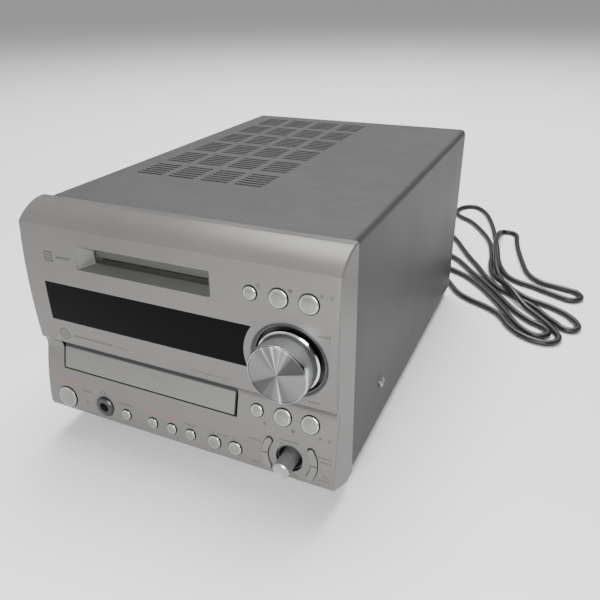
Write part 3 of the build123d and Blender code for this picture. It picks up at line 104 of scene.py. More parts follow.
def add_camera():
    """The camera at the photograph's place: it stands to the right, in front and above."""
    azimuth, elevation, roll = (math.radians(a) for a in (24.9, 27.3924, -0.9322))
    level = math.cos(elevation)
    back = Vector((math.sin(azimuth) * level, -math.cos(azimuth) * level, math.sin(elevation)))
    right = (-back).cross(Vector((0, 0, 1))).normalized()
    up = back.cross(right)
    turned_right = right * math.cos(roll) + up * math.sin(roll)
    turned_up = up * math.cos(roll) - right * math.sin(roll)
    turn = Matrix((turned_right, turned_up, back)).transposed().to_4x4()
    data = bpy.data.cameras.new("photo_camera")
    data.sensor_width = 36.0
    data.lens = 36.0 * 601.84 / 600
    data.clip_start = 0.01
    camera = new_object("photo_camera", data)
    camera.matrix_world = Matrix.Translation(at(190.45, -258.98, 269.02)) @ turn
    bpy.context.scene.camera = camera


# Points that the cord passes near, from its strain relief to its plug; two numbers lie on the table
CORD_ROUTE = [
    (30, 306, 32), (30, 318, 32), (34, 329, 28), (43, 336, 21), (55, 338, 13), (67, 334, 7),
    (78, 326, 3.5), (87, 315), (96, 303.5), (103, 291), (112, 278.5), (125.5, 269.5), (141, 262),
    (154, 251), (161, 236), (171.5, 223.5), (186, 215.5), (200, 216), (207, 228), (198.5, 244),
    (187, 260), (175, 273), (165, 284, LOW + 0.8), (157, 297, HIGH + 0.4), (148, 309, HIGH + 0.2),
    (139, 324, LOW - 0.5), (132, 342), (128, 362), (126.5, 383), (123, 403), (119, 421), (113, 439),
    (104, 457), (94, 475), (83, 491), (71, 500), (62, 511), (60, 527), (65, 542), (77, 551),
    (89.5, 540.5), (99, 523), (106, 503), (112, 483), (117, 463), (121, 443), (126, 422), (129.8, 403),
    (133, 382), (138, 362), (143.5, 348), (150, 336), (161, 328), (173, 324), (186, 317), (200, 310),
    (211, 304.5), (221, 313.5), (216, 326), (205.5, 329), (194, 332), (182, 335), (172, 344),
    (165, 357), (160, 375), (155, 395), (150, 417), (146, 440), (145, 449), (144, 459.5), (138, 468),
    (128.5, 468), (124, 459, LOW - 1.5), (124.5, 446, HIGH - 0.8), (124.5, 424, HIGH),
    (126, 402, HIGH - 0.8), (130.5, 378, HIGH - 0.8), (133.8, 358, LOW + 0.6), (139, 341, 3.6),
    (145, 326), (153, 312), (164, 302), (174, 293), (186, 289), (198, 283), (208, 275.5), (216.5, 265),
    (220.5, 253.5), (215.5, 245.5), (207, 246), (201, 255), (193.6, 261.8), (185, 274), (176, 283),
    (167.5, 289), (157.5, 296.5), (146, 305), (135, 318), (124, 337), (116, 353), (104.5, 372),
    (93.5, 393), (83, 415), (72, 433), (57, 437), (45, 426), (43, 409), (50, 393), (64, 382),
    (80, 374), (92, 364), (102.5, 350.5), (113, 335), (127, 318), (139.5, 301.5), (149, 287),
    (160, 270), (170, 258), (180.5, 248.5), (192, 243), (198, 232), (188, 223.5), (177, 230),
    (166.5, 243), (157, 260), (147, 276), (136, 292), (124, 308), (112, 321), (100, 330),
    (86, 336, 3.9), (72, 343, LOW), (60, 353, LOW),
]


def mains_cord():
    """The mains cord as one smooth line from its strain relief to its plug."""
    curve = bpy.data.curves.new("mains_cord", "CURVE")
    curve.dimensions = "3D"
    curve.bevel_depth = CORD_DIAMETER / 2 * MM
    curve.bevel_resolution = 4
    curve.resolution_u = 5
    curve.use_fill_caps = True
    spline = curve.splines.new("NURBS")
    spline.points.add(len(CORD_ROUTE) - 1)
    for point, (x, y, *height) in zip(spline.points, CORD_ROUTE):
        point.co = (*at(x, y, *(height or [TABLE])), 1.0)
    spline.order_u = 3
    spline.use_endpoint_u = True
    return new_object("mains_cord", curve)


# Nodes, and the shader node groups that the finishes share

def put(tree, kind, inputs=None, **settings):
    """A node in a tree; an input is a value, or a socket to link to."""
    node = tree.nodes.new(kind)
    for name, value in settings.items():
        setattr(node, name, value)
    for name, value in (inputs or {}).items():
        socket = node.inputs[name]
        if isinstance(value, bpy.types.NodeSocket):
            tree.links.new(value, socket)
        else:
            socket.default_value = value
    return node


def give(tree, kind, inputs=None, **settings):
    """The first output of a new node in a tree."""
    return put(tree, kind, inputs, **settings).outputs[0]


def rgba(color):
    """A colour for a socket, from its three values or from one level of grey."""
    return (color, color, color, 1.0) if isinstance(color, float) else (*color, 1.0)


def add_inputs(tree, vectors, numbers):
    """Gives a tree its vector inputs, and its number inputs with their usual values."""
    for name in vectors:
        tree.interface.new_socket(name, in_out="INPUT", socket_type="NodeSocketVector")
    for name, value in numbers.items():
        kind = "NodeSocketInt" if isinstance(value, int) else "NodeSocketFloat"
        tree.interface.new_socket(name, in_out="INPUT", socket_type=kind).default_value = value


def shader_group(name, vectors, numbers, outputs):
    """A shader node group with its vector inputs, number inputs and number outputs, and nothing yet."""
    tree = bpy.data.node_groups.new(name, "ShaderNodeTree")
    add_inputs(tree, vectors, numbers)
    for output in outputs:
        tree.interface.new_socket(output, in_out="OUTPUT", socket_type="NodeSocketFloat")
    return tree, tree.nodes.new("NodeGroupInput").outputs, tree.nodes.new("NodeGroupOutput").inputs


def calc(tree, operation, first, second=0.0):
    """One step of arithmetic in a tree."""
    return give(tree, "ShaderNodeMath", {0: first, 1: second}, operation=operation)


def vector_calc(tree, operation, first, second=(0.0, 0.0, 0.0)):
    """One step of vector arithmetic in a tree, which gives a vector, a length or a product."""
    node = put(tree, "ShaderNodeVectorMath", {0: first, 1: second}, operation=operation)
    return node.outputs["Value" if operation in ("LENGTH", "DOT_PRODUCT") else "Vector"]


def spread(tree, value, low, high):
    """A value spread from 0 at one end to 1 at the other, and no further."""
    inputs = {"Value": value, "From Min": low, "From Max": high}
    return put(tree, "ShaderNodeMapRange", inputs).outputs["Result"]


def noise(tree, vector, scale, detail, roughness):
    """Noise over a surface, from 0 to 1."""
    inputs = {"Vector": vector, "Scale": scale, "Detail": detail, "Roughness": roughness}
    return put(tree, "ShaderNodeTexNoise", inputs).outputs["Fac"]


def make_behind_face():
    """1 on what lies deeper than a given depth behind the front's bowed face, 0 on the face itself."""
    numbers = {"Depth mm": 0.4, "Fade mm": 0.5}
    tree, given, result = shader_group("behind_face", ["Vector"], numbers, ["Mask"])
    split = put(tree, "ShaderNodeSeparateXYZ", {0: given["Vector"]})
    height = calc(tree, "MULTIPLY", split.outputs["Z"], 1000.0)
    depth = calc(tree, "MULTIPLY", split.outputs["Y"], 1000.0)
    depth = calc(tree, "ADD", depth, MIDDLE_Y)
    bounded = calc(tree, "LESS_THAN", calc(tree, "ABSOLUTE", split.outputs["X"]), FACE_SIDE * MM)
    end = calc(tree, "ADD", given["Depth mm"], given["Fade mm"])
    total = None
    for low_z, low_reach, high_z, high_reach, bow in FACE_PARTS:
        share = calc(tree, "DIVIDE", calc(tree, "SUBTRACT", height, low_z), high_z - low_z)
        rest = calc(tree, "SUBTRACT", 1.0, share)
        straight = calc(tree, "ADD", calc(tree, "MULTIPLY", share, high_reach - low_reach), low_reach)
        bowed = calc(tree, "MULTIPLY", calc(tree, "MULTIPLY", share, rest), 4 * bow)
        behind = calc(tree, "ADD", depth, calc(tree, "ADD", straight, bowed))
        above = calc(tree, "GREATER_THAN", height, low_z)
        below = calc(tree, "LESS_THAN", height, high_z)
        deep = spread(tree, behind, given["Depth mm"], end)
        mask = calc(tree, "MULTIPLY", deep, calc(tree, "MULTIPLY", above, below))
        total = mask if total is None else calc(tree, "ADD", total, mask)
    tree.links.new(calc(tree, "MULTIPLY", total, bounded), result["Mask"])
    return tree


def make_fine_grain():
    """The fine orange-peel grain of paint and moulded plastic, as a height."""
    tree, given, result = shader_group("fine_grain", ["Vector"], {"Size mm": 0.5}, ["Height"])
    scale = calc(tree, "DIVIDE", 1000.0, given["Size mm"])
    tree.links.new(noise(tree, given["Vector"], scale, 3.0, 0.55), result["Height"])
    return tree


def make_soft_variation():
    """Slow unevenness over a surface, from 0 to 1, with a finer layer in it."""
    tree, given, result = shader_group("soft_variation", ["Vector"], {"Size mm": 40.0}, ["Factor"])
    scale = calc(tree, "DIVIDE", 1000.0, given["Size mm"])
    cloudy = noise(tree, given["Vector"], scale, 4.0, 0.6)
    tree.links.new(spread(tree, cloudy, 0.32, 0.68), result["Factor"])
    return tree


def make_settled_dust():
    """A thin broken film of dust on what faces up."""
    tree, given, result = shader_group("settled_dust", ["Vector"], {"Amount": 0.15}, ["Mask"])
    normal = put(tree, "ShaderNodeNewGeometry").outputs["Normal"]
    rise = put(tree, "ShaderNodeSeparateXYZ", {0: normal}).outputs["Z"]
    specks = noise(tree, given["Vector"], 90.0, 6.0, 0.7)
    broken = calc(tree, "MULTIPLY", spread(tree, rise, 0.6, 1.0), specks)
    tree.links.new(calc(tree, "MULTIPLY", broken, given["Amount"]), result["Mask"])
    return tree


# Painted reflection: light and dark round the spun disc, as places from 0 to 1 anticlockwise from its left,
# and shades
REFLECTION_FAN_STOPS = (
    (0.0, 0.26), (0.07, 0.24), (0.085, 0.11), (0.15, 0.12), (0.165, 0.18), (0.205, 0.17),
    (0.225, 0.25), (0.257, 0.30), (0.267, 0.90), (0.277, 0.22), (0.30, 0.16), (0.345, 0.23),
    (0.42, 0.28), (0.538, 0.29), (0.55, 0.085), (0.645, 0.10), (0.67, 0.20), (0.694, 0.42),
    (0.708, 0.24), (0.727, 0.46), (0.747, 0.24), (0.762, 0.30), (0.771, 0.85), (0.781, 0.24),
    (0.80, 0.17), (0.822, 0.22), (0.83, 0.55), (0.84, 0.20), (0.875, 0.21), (0.91, 0.27),
    (1.0, 0.26),
)


def make_rings_and_painted_fan():
    """Fine turned rings as a height, and a painted fan of reflected light and dark, round a line straight
    back.
    """
    vectors = ["Vector", "Centre"]
    tree, given, result = shader_group("rings_and_painted_fan", vectors, {"Ring mm": 0.25}, ["Height", "Painted Fan"])
    local = vector_calc(tree, "SUBTRACT", given["Vector"], given["Centre"])
    flat = vector_calc(tree, "MULTIPLY", local, (1.0, 0.0, 1.0))
    rate = calc(tree, "DIVIDE", 2000.0 * math.pi, given["Ring mm"])
    phase = calc(tree, "MULTIPLY", vector_calc(tree, "LENGTH", flat), rate)
    split = put(tree, "ShaderNodeSeparateXYZ", {0: flat})
    angle = calc(tree, "ARCTAN2", split.outputs["Z"], split.outputs["X"])
    fan = put(tree, "ShaderNodeValToRGB", {"Fac": spread(tree, angle, -math.pi, math.pi)})
    ramp = fan.color_ramp
    while len(ramp.elements) < len(REFLECTION_FAN_STOPS):
        ramp.elements.new(0.5)
    for element, (place, shade) in zip(ramp.elements, REFLECTION_FAN_STOPS):
        element.position = place
        element.color = rgba(shade)
    tree.links.new(calc(tree, "SINE", phase), result["Height"])
    tree.links.new(fan.outputs["Color"], result["Painted Fan"])
    return tree


FINE_GRAIN = make_fine_grain()
SOFT_VARIATION = make_soft_variation()
SETTLED_DUST = make_settled_dust()
RINGS_AND_PAINTED_FAN = make_rings_and_painted_fan()
BEHIND_FACE = make_behind_face()


def use(tree, group, inputs):
    """A shader node group placed in a material."""
    return put(tree, "ShaderNodeGroup", inputs, node_tree=group)


class Finish:
    """A material with its coordinates, colour, roughness and bump set up, open to more nodes."""

    def __init__(self, name, light, dark, rough, metal, uneven, grain, depth):
        self.material = bpy.data.materials.new(f"{name}_finish")
        self.material.use_nodes = True
        self.tree = self.material.node_tree
        self.shader = self.tree.nodes["Principled BSDF"]
        self.coords = put(self.tree, "ShaderNodeTexCoord").outputs["Object"]
        variation = use(self.tree, SOFT_VARIATION, {"Vector": self.coords, "Size mm": uneven})
        self.variation = variation.outputs["Factor"]
        self.color = self.mix(self.variation, dark, light)
        self.feed("Base Color", self.color)
        inputs = {"Value": self.variation, "To Min": rough[0], "To Max": rough[1]}
        self.roughness = put(self.tree, "ShaderNodeMapRange", inputs).outputs["Result"]
        self.feed("Roughness", self.roughness)
        self.shader.inputs["Metallic"].default_value = metal
        height = use(self.tree, FINE_GRAIN, {"Vector": self.coords, "Size mm": grain}).outputs["Height"]
        inputs = {"Height": height, "Strength": 1.0, "Distance": depth * MM}
        self.bump = put(self.tree, "ShaderNodeBump", inputs)
        self.feed("Normal", self.bump.outputs["Normal"])

    def feed(self, name, value):
        """Links a value to one of the shader's sockets."""
        self.tree.links.new(value, self.shader.inputs[name])

    def mix(self, factor, first, second):
        """The colour between two colours by a factor; each may be a socket."""
        node = put(self.tree, "ShaderNodeMix", {"Factor": factor}, data_type="RGBA")
        for index, value in ((6, first), (7, second)):
            if isinstance(value, bpy.types.NodeSocket):
                self.tree.links.new(value, node.inputs[index])
            else:
                node.inputs[index].default_value = rgba(value)
        return node.outputs[2]

    def paint(self, factor, color):
        """Lays another colour, or another socket's colour, over what is there where the factor is 1."""
        self.color = self.mix(factor, self.color, color)
        self.feed("Base Color", self.color)

    def rub(self, factor, value):
        """Brings the roughness to a value where the factor is 1."""
        inputs = {"Factor": factor, "A": self.roughness, "B": value}
        self.roughness = give(self.tree, "ShaderNodeMix", inputs, data_type="FLOAT")
        self.feed("Roughness", self.roughness)

    def plate(self, factor, inside, outside=0.0):
        """Metal where the factor is 1."""
        inputs = {"Value": factor, "To Min": outside, "To Max": inside}
        metal = put(self.tree, "ShaderNodeMapRange", inputs).outputs["Result"]
        self.feed("Metallic", metal)

    def axis(self, name):
        """One coordinate over the surface, in metres."""
        return put(self.tree, "ShaderNodeSeparateXYZ", {0: self.coords}).outputs[name]

    def beyond(self, value, start, fade=0.05):
        """1 where a value is past a place in metres, 0 before it, with a fade in millimetres."""
        return spread(self.tree, value, start, start + fade * MM)

    def past(self, name, place, fade=0.05):
        """1 past a place in millimetres on one axis of the drawing, 0 before it."""
        start = (place - MIDDLE_Y if name == "Y" else place) * MM
        return self.beyond(self.axis(name), start, fade)

    def within(self, name, low, high):
        """1 between two places in millimetres on one axis of the drawing, 0 outside them."""
        return calc(self.tree, "SUBTRACT", self.past(name, low), self.past(name, high))

    def both(self, first, second):
        """1 where both masks are 1."""
        return calc(self.tree, "MULTIPLY", first, second)

    def opposite(self, mask):
        """1 where a mask is 0."""
        return calc(self.tree, "SUBTRACT", 1.0, mask)

    def from_axis(self, spot):
        """How far the surface is, in metres, from a line through a spot on the face, straight back."""
        way = vector_calc(self.tree, "SUBTRACT", self.coords, tuple(at(spot[0], 0, spot[1])))
        return vector_calc(self.tree, "LENGTH", vector_calc(self.tree, "MULTIPLY", way, (1.0, 0.0, 1.0)))

    def ring(self, spot, inner, outer):
        """1 between two radii in millimetres round a spot on the face, 0 outside them."""
        distance = self.from_axis(spot)
        inside = self.opposite(self.beyond(distance, outer * MM))
        return self.both(self.beyond(distance, inner * MM, 0.1), inside)

    def behind_face(self, depth, fade=0.5):
        """1 on what lies deeper than a depth in millimetres behind the front's face."""
        inputs = {"Vector": self.coords, "Depth mm": depth, "Fade mm": fade}
        return use(self.tree, BEHIND_FACE, inputs).outputs["Mask"]

    def dust(self, amount):
        """A film of dust on the upper sides."""
        mask = use(self.tree, SETTLED_DUST, {"Vector": self.coords, "Amount": amount}).outputs["Mask"]
        self.paint(mask, (0.42, 0.41, 0.39))
        self.rub(mask, 0.8)

    def raise_by(self, height, distance):
        """Adds a coarser relief under the fine grain."""
        inputs = {"Height": height, "Strength": 1.0, "Distance": distance * MM}
        relief = put(self.tree, "ShaderNodeBump", inputs)
        self.tree.links.new(relief.outputs["Normal"], self.bump.inputs["Normal"])

    def grooves(self, name, pitch, distance):
        """Fine parallel grooves across one axis, for brushing, laminations or ribs."""
        wave = calc(self.tree, "MULTIPLY", self.axis(name), 2 * math.pi / (pitch * MM))
        self.raise_by(calc(self.tree, "SINE", wave), distance)


# Finishes: light and dark colour (one number is a grey), least and most roughness, metal, and in
# millimetres the size of slow unevenness and the size and depth of the fine grain
FINISH_VALUES = {
    # The front
    "panel_silver_paint": ((0.120, 0.117, 0.112), (0.107, 0.104, 0.099), (0.32, 0.40), 0.35, 70, 0.35, 0.006),
    "door_silver_paint": ((0.127, 0.125, 0.120), (0.114, 0.112, 0.107), (0.30, 0.38), 0.35, 60, 0.35, 0.006),
    "button_silver": ((0.175, 0.174, 0.168), (0.155, 0.154, 0.149), (0.20, 0.27), 0.6, 10, 0.3, 0.003),
    "key_silver": ((0.128, 0.125, 0.120), (0.115, 0.113, 0.108), (0.28, 0.36), 0.35, 10, 0.3, 0.004),
    "cap_plating": ((0.30, 0.30, 0.29), (0.26, 0.26, 0.252), (0.12, 0.18), 0.8, 5, 0.3, 0.002),
    "smoked_window": ((0.0012, 0.0009, 0.0010), (0.0009, 0.0010, 0.0010), (0.05, 0.09), 0.0, 30, 3.0, 0.0005),
    "flap_grey": ((0.048, 0.048, 0.044), (0.040, 0.040, 0.036), (0.34, 0.45), 0.3, 16, 0.4, 0.008),
    "jack_black": ((0.020, 0.020, 0.021), 0.012, (0.26, 0.36), 0.0, 8, 0.5, 0.005),
    "volume_knob_plating": ((0.66, 0.68, 0.71), (0.60, 0.62, 0.65), (0.16, 0.22), 1.0, 12, 0.4, 0.002),
    "spun_aluminium": ((0.42, 0.42, 0.43), (0.40, 0.40, 0.41), (0.20, 0.26), 1.0, 6, 0.4, 0.001),
    "selector_grey": ((0.30, 0.303, 0.308), (0.27, 0.272, 0.277), (0.26, 0.34), 0.75, 6, 0.3, 0.003),
    "lamp_red": ((0.10, 0.012, 0.010), (0.06, 0.008, 0.007), (0.12, 0.2), 0.0, 1, 0.2, 0.001),
    "gap_shadow": ((0.012, 0.012, 0.011), 0.008, (0.5, 0.7), 0.0, 3, 0.3, 0.002),
    "print_ink": ((0.040, 0.040, 0.039), (0.028, 0.028, 0.027), (0.45, 0.6), 0.0, 2, 0.2, 0.001),
    "print_red": ((0.30, 0.055, 0.050), (0.22, 0.038, 0.035), (0.45, 0.6), 0.0, 2, 0.2, 0.001),
    # The case, the back and the cord
    "cover_grey_paint": (0.047, (0.044, 0.044, 0.045), (0.48, 0.54), 0.10, 90, 0.45, 0.010),
    "rear_grey_paint": ((0.085, 0.085, 0.086), (0.074, 0.074, 0.075), (0.44, 0.54), 0.15, 80, 0.5, 0.012),
    "screw_plate": ((0.30, 0.30, 0.31), (0.20, 0.20, 0.21), (0.25, 0.4), 0.9, 3, 0.4, 0.006),
    "foot_plastic": (0.03, 0.018, (0.5, 0.65), 0.0, 14, 0.5, 0.03),
    "terminal_block": (0.022, 0.014, (0.35, 0.48), 0.0, 10, 0.4, 0.02),
    "jack_plate": (0.022, 0.014, (0.35, 0.48), 0.0, 10, 0.4, 0.02),
    "ring_white": ((0.75, 0.74, 0.70), (0.66, 0.65, 0.61), (0.35, 0.45), 0.0, 3, 0.3, 0.004),
    "ring_red": ((0.48, 0.02, 0.02), (0.38, 0.015, 0.015), (0.35, 0.45), 0.0, 3, 0.3, 0.004),
    "print_pale": ((0.40, 0.40, 0.39), (0.32, 0.32, 0.31), (0.5, 0.65), 0.0, 2, 0.2, 0.001),
    "relief_rubber": (0.02, 0.012, (0.42, 0.55), 0.0, 8, 0.4, 0.02),
    "cord_vinyl": (0.008, 0.005, (0.36, 0.48), 0.0, 16, 0.6, 0.02),
    "plug_black": (0.018, 0.012, (0.34, 0.46), 0.0, 12, 0.4, 0.02),
    # The inside
    "display_glass": ((0.03, 0.035, 0.035), (0.015, 0.018, 0.018), (0.08, 0.14), 0.0, 12, 2.0, 0.001),
    "board_green": ((0.03, 0.16, 0.07), (0.02, 0.11, 0.05), (0.30, 0.42), 0.0, 9, 0.8, 0.02),
    "moulded_black": (0.020, 0.013, (0.38, 0.5), 0.0, 12, 0.35, 0.02),
    "motor_can": ((0.55, 0.55, 0.54), 0.42, (0.25, 0.38), 0.95, 8, 0.3, 0.004),
    "belt_rubber": (0.018, 0.01, (0.6, 0.75), 0.0, 8, 0.3, 0.03),
    "mechanism_black": ((0.035, 0.035, 0.037), (0.022, 0.022, 0.024), (0.36, 0.5), 0.0, 20, 0.4, 0.02),
    "mechanism_natural": ((0.72, 0.71, 0.66), (0.62, 0.61, 0.56), (0.32, 0.45), 0.0, 6, 0.4, 0.01),
    "zinc_plate": ((0.56, 0.57, 0.58), (0.38, 0.39, 0.42), (0.26, 0.44), 0.95, 14, 1.4, 0.01),
    "sink_aluminium": ((0.52, 0.53, 0.54), (0.42, 0.43, 0.44), (0.32, 0.45), 0.9, 20, 0.4, 0.008),
    "core_laminations": ((0.16, 0.15, 0.14), (0.10, 0.095, 0.09), (0.35, 0.5), 0.75, 12, 0.6, 0.01),
    "winding_tape": ((0.50, 0.36, 0.10), (0.38, 0.25, 0.06), (0.25, 0.38), 0.0, 10, 0.6, 0.02),
    "tuner_can": ((0.56, 0.57, 0.58), (0.44, 0.45, 0.47), (0.24, 0.4), 0.95, 14, 1.2, 0.008),
    "tray_black": ((0.042, 0.042, 0.044), (0.03, 0.03, 0.032), (0.34, 0.46), 0.0, 30, 0.35, 0.02),
    "sled_black": ((0.06, 0.06, 0.065), (0.035, 0.035, 0.04), (0.3, 0.45), 0.1, 8, 0.4, 0.02),
    "traverse_black": ((0.05, 0.05, 0.052), (0.03, 0.03, 0.032), (0.36, 0.48), 0.0, 14, 0.4, 0.02),
}

SHADOW = 0.010
SHELL_PLATING = (0.66, 0.65, 0.60)
# How dusty the upper sides are
DUST = {
    "panel_silver_paint": 0.04,
    "door_silver_paint": 0.04,
    "button_silver": 0.03,
    "key_silver": 0.03,
    "cover_grey_paint": 0.06,
    "rear_grey_paint": 0.05,
    "screw_plate": 0.05,
    "relief_rubber": 0.08,
    "cord_vinyl": 0.04,
    "tray_black": 0.05,
}
# Less shine than bare plastic has
SHINE = {"panel_silver_paint": 0.3, "cover_grey_paint": 0.2, "smoked_window": 0.05, "jack_black": 0.35}
# Axis, pitch and depth of grooves in millimetres
GROOVES = {
    "motor_can": ("Z", 0.35, 0.004),
    "sink_aluminium": ("Y", 0.6, 0.01),
    "core_laminations": ("Y", 0.7, 0.06),
    "winding_tape": ("Z", 4.2, 0.08),
}


def dress_front(made):
    """Painted shade in the depths of the face's openings and round the tray's front, buttons, keys and cap
    rims, a greenish grey painted for shade and reflection on the recess's deep walls, and painted shade on
    the bevel of the knob's hole.
    """
    panel = made["panel_silver_paint"]
    recess = panel.both(panel.within("X", *RECESS_X), panel.within("Z", *RECESS_Z))
    # Painted shade on what lies deep in the face's openings; in the recess a greenish grey is painted
    # instead, for the shade and reflection on its walls
    deep = panel.behind_face(0.35)
    panel.paint(panel.both(deep, recess), (0.115, 0.116, 0.107))
    panel.paint(panel.both(deep, panel.opposite(recess)), SHADOW)
    # Painted shade on the bevel of the knob's hole
    panel.paint(panel.ring(VOLUME, VOLUME_HOLE + 0.05, VOLUME_BEVEL), (0.070, 0.070, 0.068))
    # Painted shade on what lies behind the faces of the tray's front, the buttons and the keys: their sides
    # and lips in the gaps
    shaded_depths = (("door_silver_paint", 0.6, 0.4), ("button_silver", 0.15, 0.3), ("key_silver", 0.05, 0.25))
    for name, depth, fade in shaded_depths:
        made[name].paint(made[name].behind_face(depth, fade), SHADOW)
    # Painted shadow over the right end of the tray's front, for a wider dark gap beside it
    door = made["door_silver_paint"]
    door.paint(door.past("X", DOOR_SHADE_START), SHADOW)
    # Painted shadow on the outer sides of the caps' plated rims
    cap = made["cap_plating"]
    cap.paint(cap.behind_face(-0.72, 0.12), 0.008)
    made["lamp_red"].shader.inputs["Coat Weight"].default_value = 0.5


def dress_volume_knob(made):
    """The knob's bright foot, a painted reflection fan on its turned rim and on its spun disc, and the disc's
    turned rings.
    """
    face = -face_reach(VOLUME[1])
    centre = tuple(at(VOLUME[0], 0, VOLUME[1]))
    knob = made["volume_knob_plating"]
    foot = knob.past("Y", face - KNOB_FOOT, 0.3)
    knob.paint(foot, (0.62, 0.62, 0.63))
    knob.rub(foot, 0.07)
    # Painted reflection fan on the knob's turned rim
    rim = knob.opposite(knob.past("Y", face - KNOB_FRONT + KNOB_RIM, 0.1))
    inputs = {"Vector": knob.coords, "Centre": centre, "Ring mm": 0.22}
    knob.paint(rim, use(knob.tree, RINGS_AND_PAINTED_FAN, inputs).outputs["Painted Fan"])
    knob.rub(rim, 0.22)
    disc = made["spun_aluminium"]
    # The disc's colour is a painted reflection fan, with its turned rings as a real bump
    turned = use(disc.tree, RINGS_AND_PAINTED_FAN, {**inputs, "Vector": disc.coords})
    tone = disc.mix(turned.outputs["Painted Fan"], 0.0, (0.54, 0.545, 0.55))
    disc.feed("Base Color", tone)
    disc.raise_by(turned.outputs["Height"], 0.002)
    disc.shader.inputs["Anisotropic"].default_value = 0.5
    outward = vector_calc(disc.tree, "SUBTRACT", disc.coords, centre)
    around = vector_calc(disc.tree, "CROSS_PRODUCT", outward, (0.0, 1.0, 0.0))
    disc.feed("Tangent", around)


def dress_inside(made):
    """Uneven lacquer on the main board's top, and steel rails on the black traverse."""
    board = made["board_green"]
    board.paint(board.both(board.within("Z", 0.0, 19.5), board.variation), (0.05, 0.20, 0.09))
    traverse = made["traverse_black"]
    rails = traverse.past("Z", 48.2)
    traverse.paint(rails, 0.5)
    traverse.plate(rails, 0.9)


def dress_back(made):
    """Red caps on every second speaker post, and plated shells on the line and antenna sockets."""
    posts = made["terminal_block"]
    caps = posts.past("Y", CASE_DEPTH + POST_FRONT)
    for x in POSTS[::2]:
        red = posts.within("X", x - POST_HALF, x + POST_HALF)
        posts.paint(posts.both(red, caps), (0.36, 0.012, 0.014))
    jacks = made["jack_plate"]
    shells = jacks.past("Y", CASE_DEPTH + PLATE_FRONT)
    jacks.paint(shells, SHELL_PLATING)
    jacks.rub(shells, 0.18)
    jacks.plate(shells, 0.95)
    tuner = made["tuner_can"]
    plate = tuner.past("Y", CASE_DEPTH - 9)
    shell = tuner.both(tuner.past("Y", CASE_DEPTH + PLATE_FRONT), tuner.within("X", 39.0, 49.5))
    tuner.paint(plate, 0.02)
    tuner.paint(shell, SHELL_PLATING)
    tuner.plate(calc(tuner.tree, "SUBTRACT", plate, shell), 0.0, 0.95)


def dress_plug(made):
    """Plated blades beyond the plug's black body."""
    plug = made["plug_black"]
    before, end = (at(*spot) for spot in CORD_ROUTE[-2:])
    way = (end - before).normalized()
    along = vector_calc(plug.tree, "DOT_PRODUCT", plug.coords, tuple(way))
    blades = plug.beyond(along, end.dot(way) + PLUG_BODY * MM)
    plug.paint(blades, (0.72, 0.66, 0.48))
    plug.rub(blades, 0.22)
    plug.plate(blades, 0.95)


def make_finishes():
    """Every finish of the object, by name."""
    made = {name: Finish(name, *values) for name, values in FINISH_VALUES.items()}
    for dress in (dress_front, dress_volume_knob, dress_inside, dress_back, dress_plug):
        dress(made)
    for name, amount in DUST.items():
        made[name].dust(amount)
    for name, level in SHINE.items():
        made[name].shader.inputs["Specular IOR Level"].default_value = level
    for name, ridges in GROOVES.items():
        made[name].grooves(*ridges)
    return {name: finish.material for name, finish in made.items()}


FINISHES = make_finishes()

NODE_FINISHES = {
    "panel_silver_paint": ["front_panel"],
    "door_silver_paint": ["cd_tray_door"],
    "smoked_window": ["display_window"],
    "display_glass": ["display_module"],
    "board_green": ["front_board", "main_board"],
    "moulded_black": ["rotary_encoders", "volume_well", "selector_well"],
    "jack_black": ["headphone_jack"],
    "motor_can": ["loading_motor", "spindle_motor"],
    "belt_rubber": ["loading_belt"],
    "mechanism_black": ["loader_frame"],
    "zinc_plate": ["clamper_bridge", "md_mechanism", "mechanism_bracket", "chassis_base"],
    "cover_grey_paint": ["top_cover"],
    "rear_grey_paint": ["rear_panel"],
    "foot_plastic": ["feet"],
    "screw_plate": ["cover_screws"],
    "terminal_block": ["speaker_terminals"],
    "jack_plate": ["line_jacks"],
    "tuner_can": ["tuner_module"],
    "sink_aluminium": ["heat_sink"],
    "core_laminations": ["transformer_core"],
    "winding_tape": ["transformer_winding"],
    "relief_rubber": ["strain_relief"],
    "cord_vinyl": ["power_cord", "cord_hank"],
    "plug_black": ["power_plug"],
    "flap_grey": ["md_slot_door"],
    "volume_knob_plating": ["volume_knob"],
    "spun_aluminium": ["volume_knob_face"],
    "selector_grey": ["selector_knob"],
    "tray_black": ["cd_tray", "turntable"],
    "mechanism_natural": ["tray_gear", "motor_pulley", "disc_clamper"],
    "traverse_black": ["traverse"],
    "sled_black": ["optical_pickup"],
    "button_silver": [name for name in nodes if name.endswith("_button")],
    "key_silver": [name for name in nodes if name.endswith("_key")],
}


def finish_nodes():
    """Gives every solid of the frame its finish."""
    for finish, names in NODE_FINISHES.items():
        for name in names:
            mesh = nodes[name].data
            mesh.materials.clear()
            mesh.materials.append(FINISHES[finish])


def piece(name, mesh, body, finish=None):
    """A mesh as an object of the scene that rides on a body."""
    made = new_object(name, mesh)
    if finish:
        mesh.materials.clear()
        mesh.materials.append(FINISHES[finish])
    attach(made, body)
    return made


# Closed meshes for the small pieces of the face

def solid(name, points, faces):
    """A closed mesh with its doubles merged and its faces turned outwards."""
    mesh = bpy.data.meshes.new(name)
    mesh.from_pydata(points, [], faces)
    work = bmesh.new()
    work.from_mesh(mesh)
    bmesh.ops.remove_doubles(work, verts=work.verts, dist=1e-7)
    bmesh.ops.recalc_face_normals(work, faces=work.faces)
    work.to_mesh(mesh)
    work.free()
    return mesh


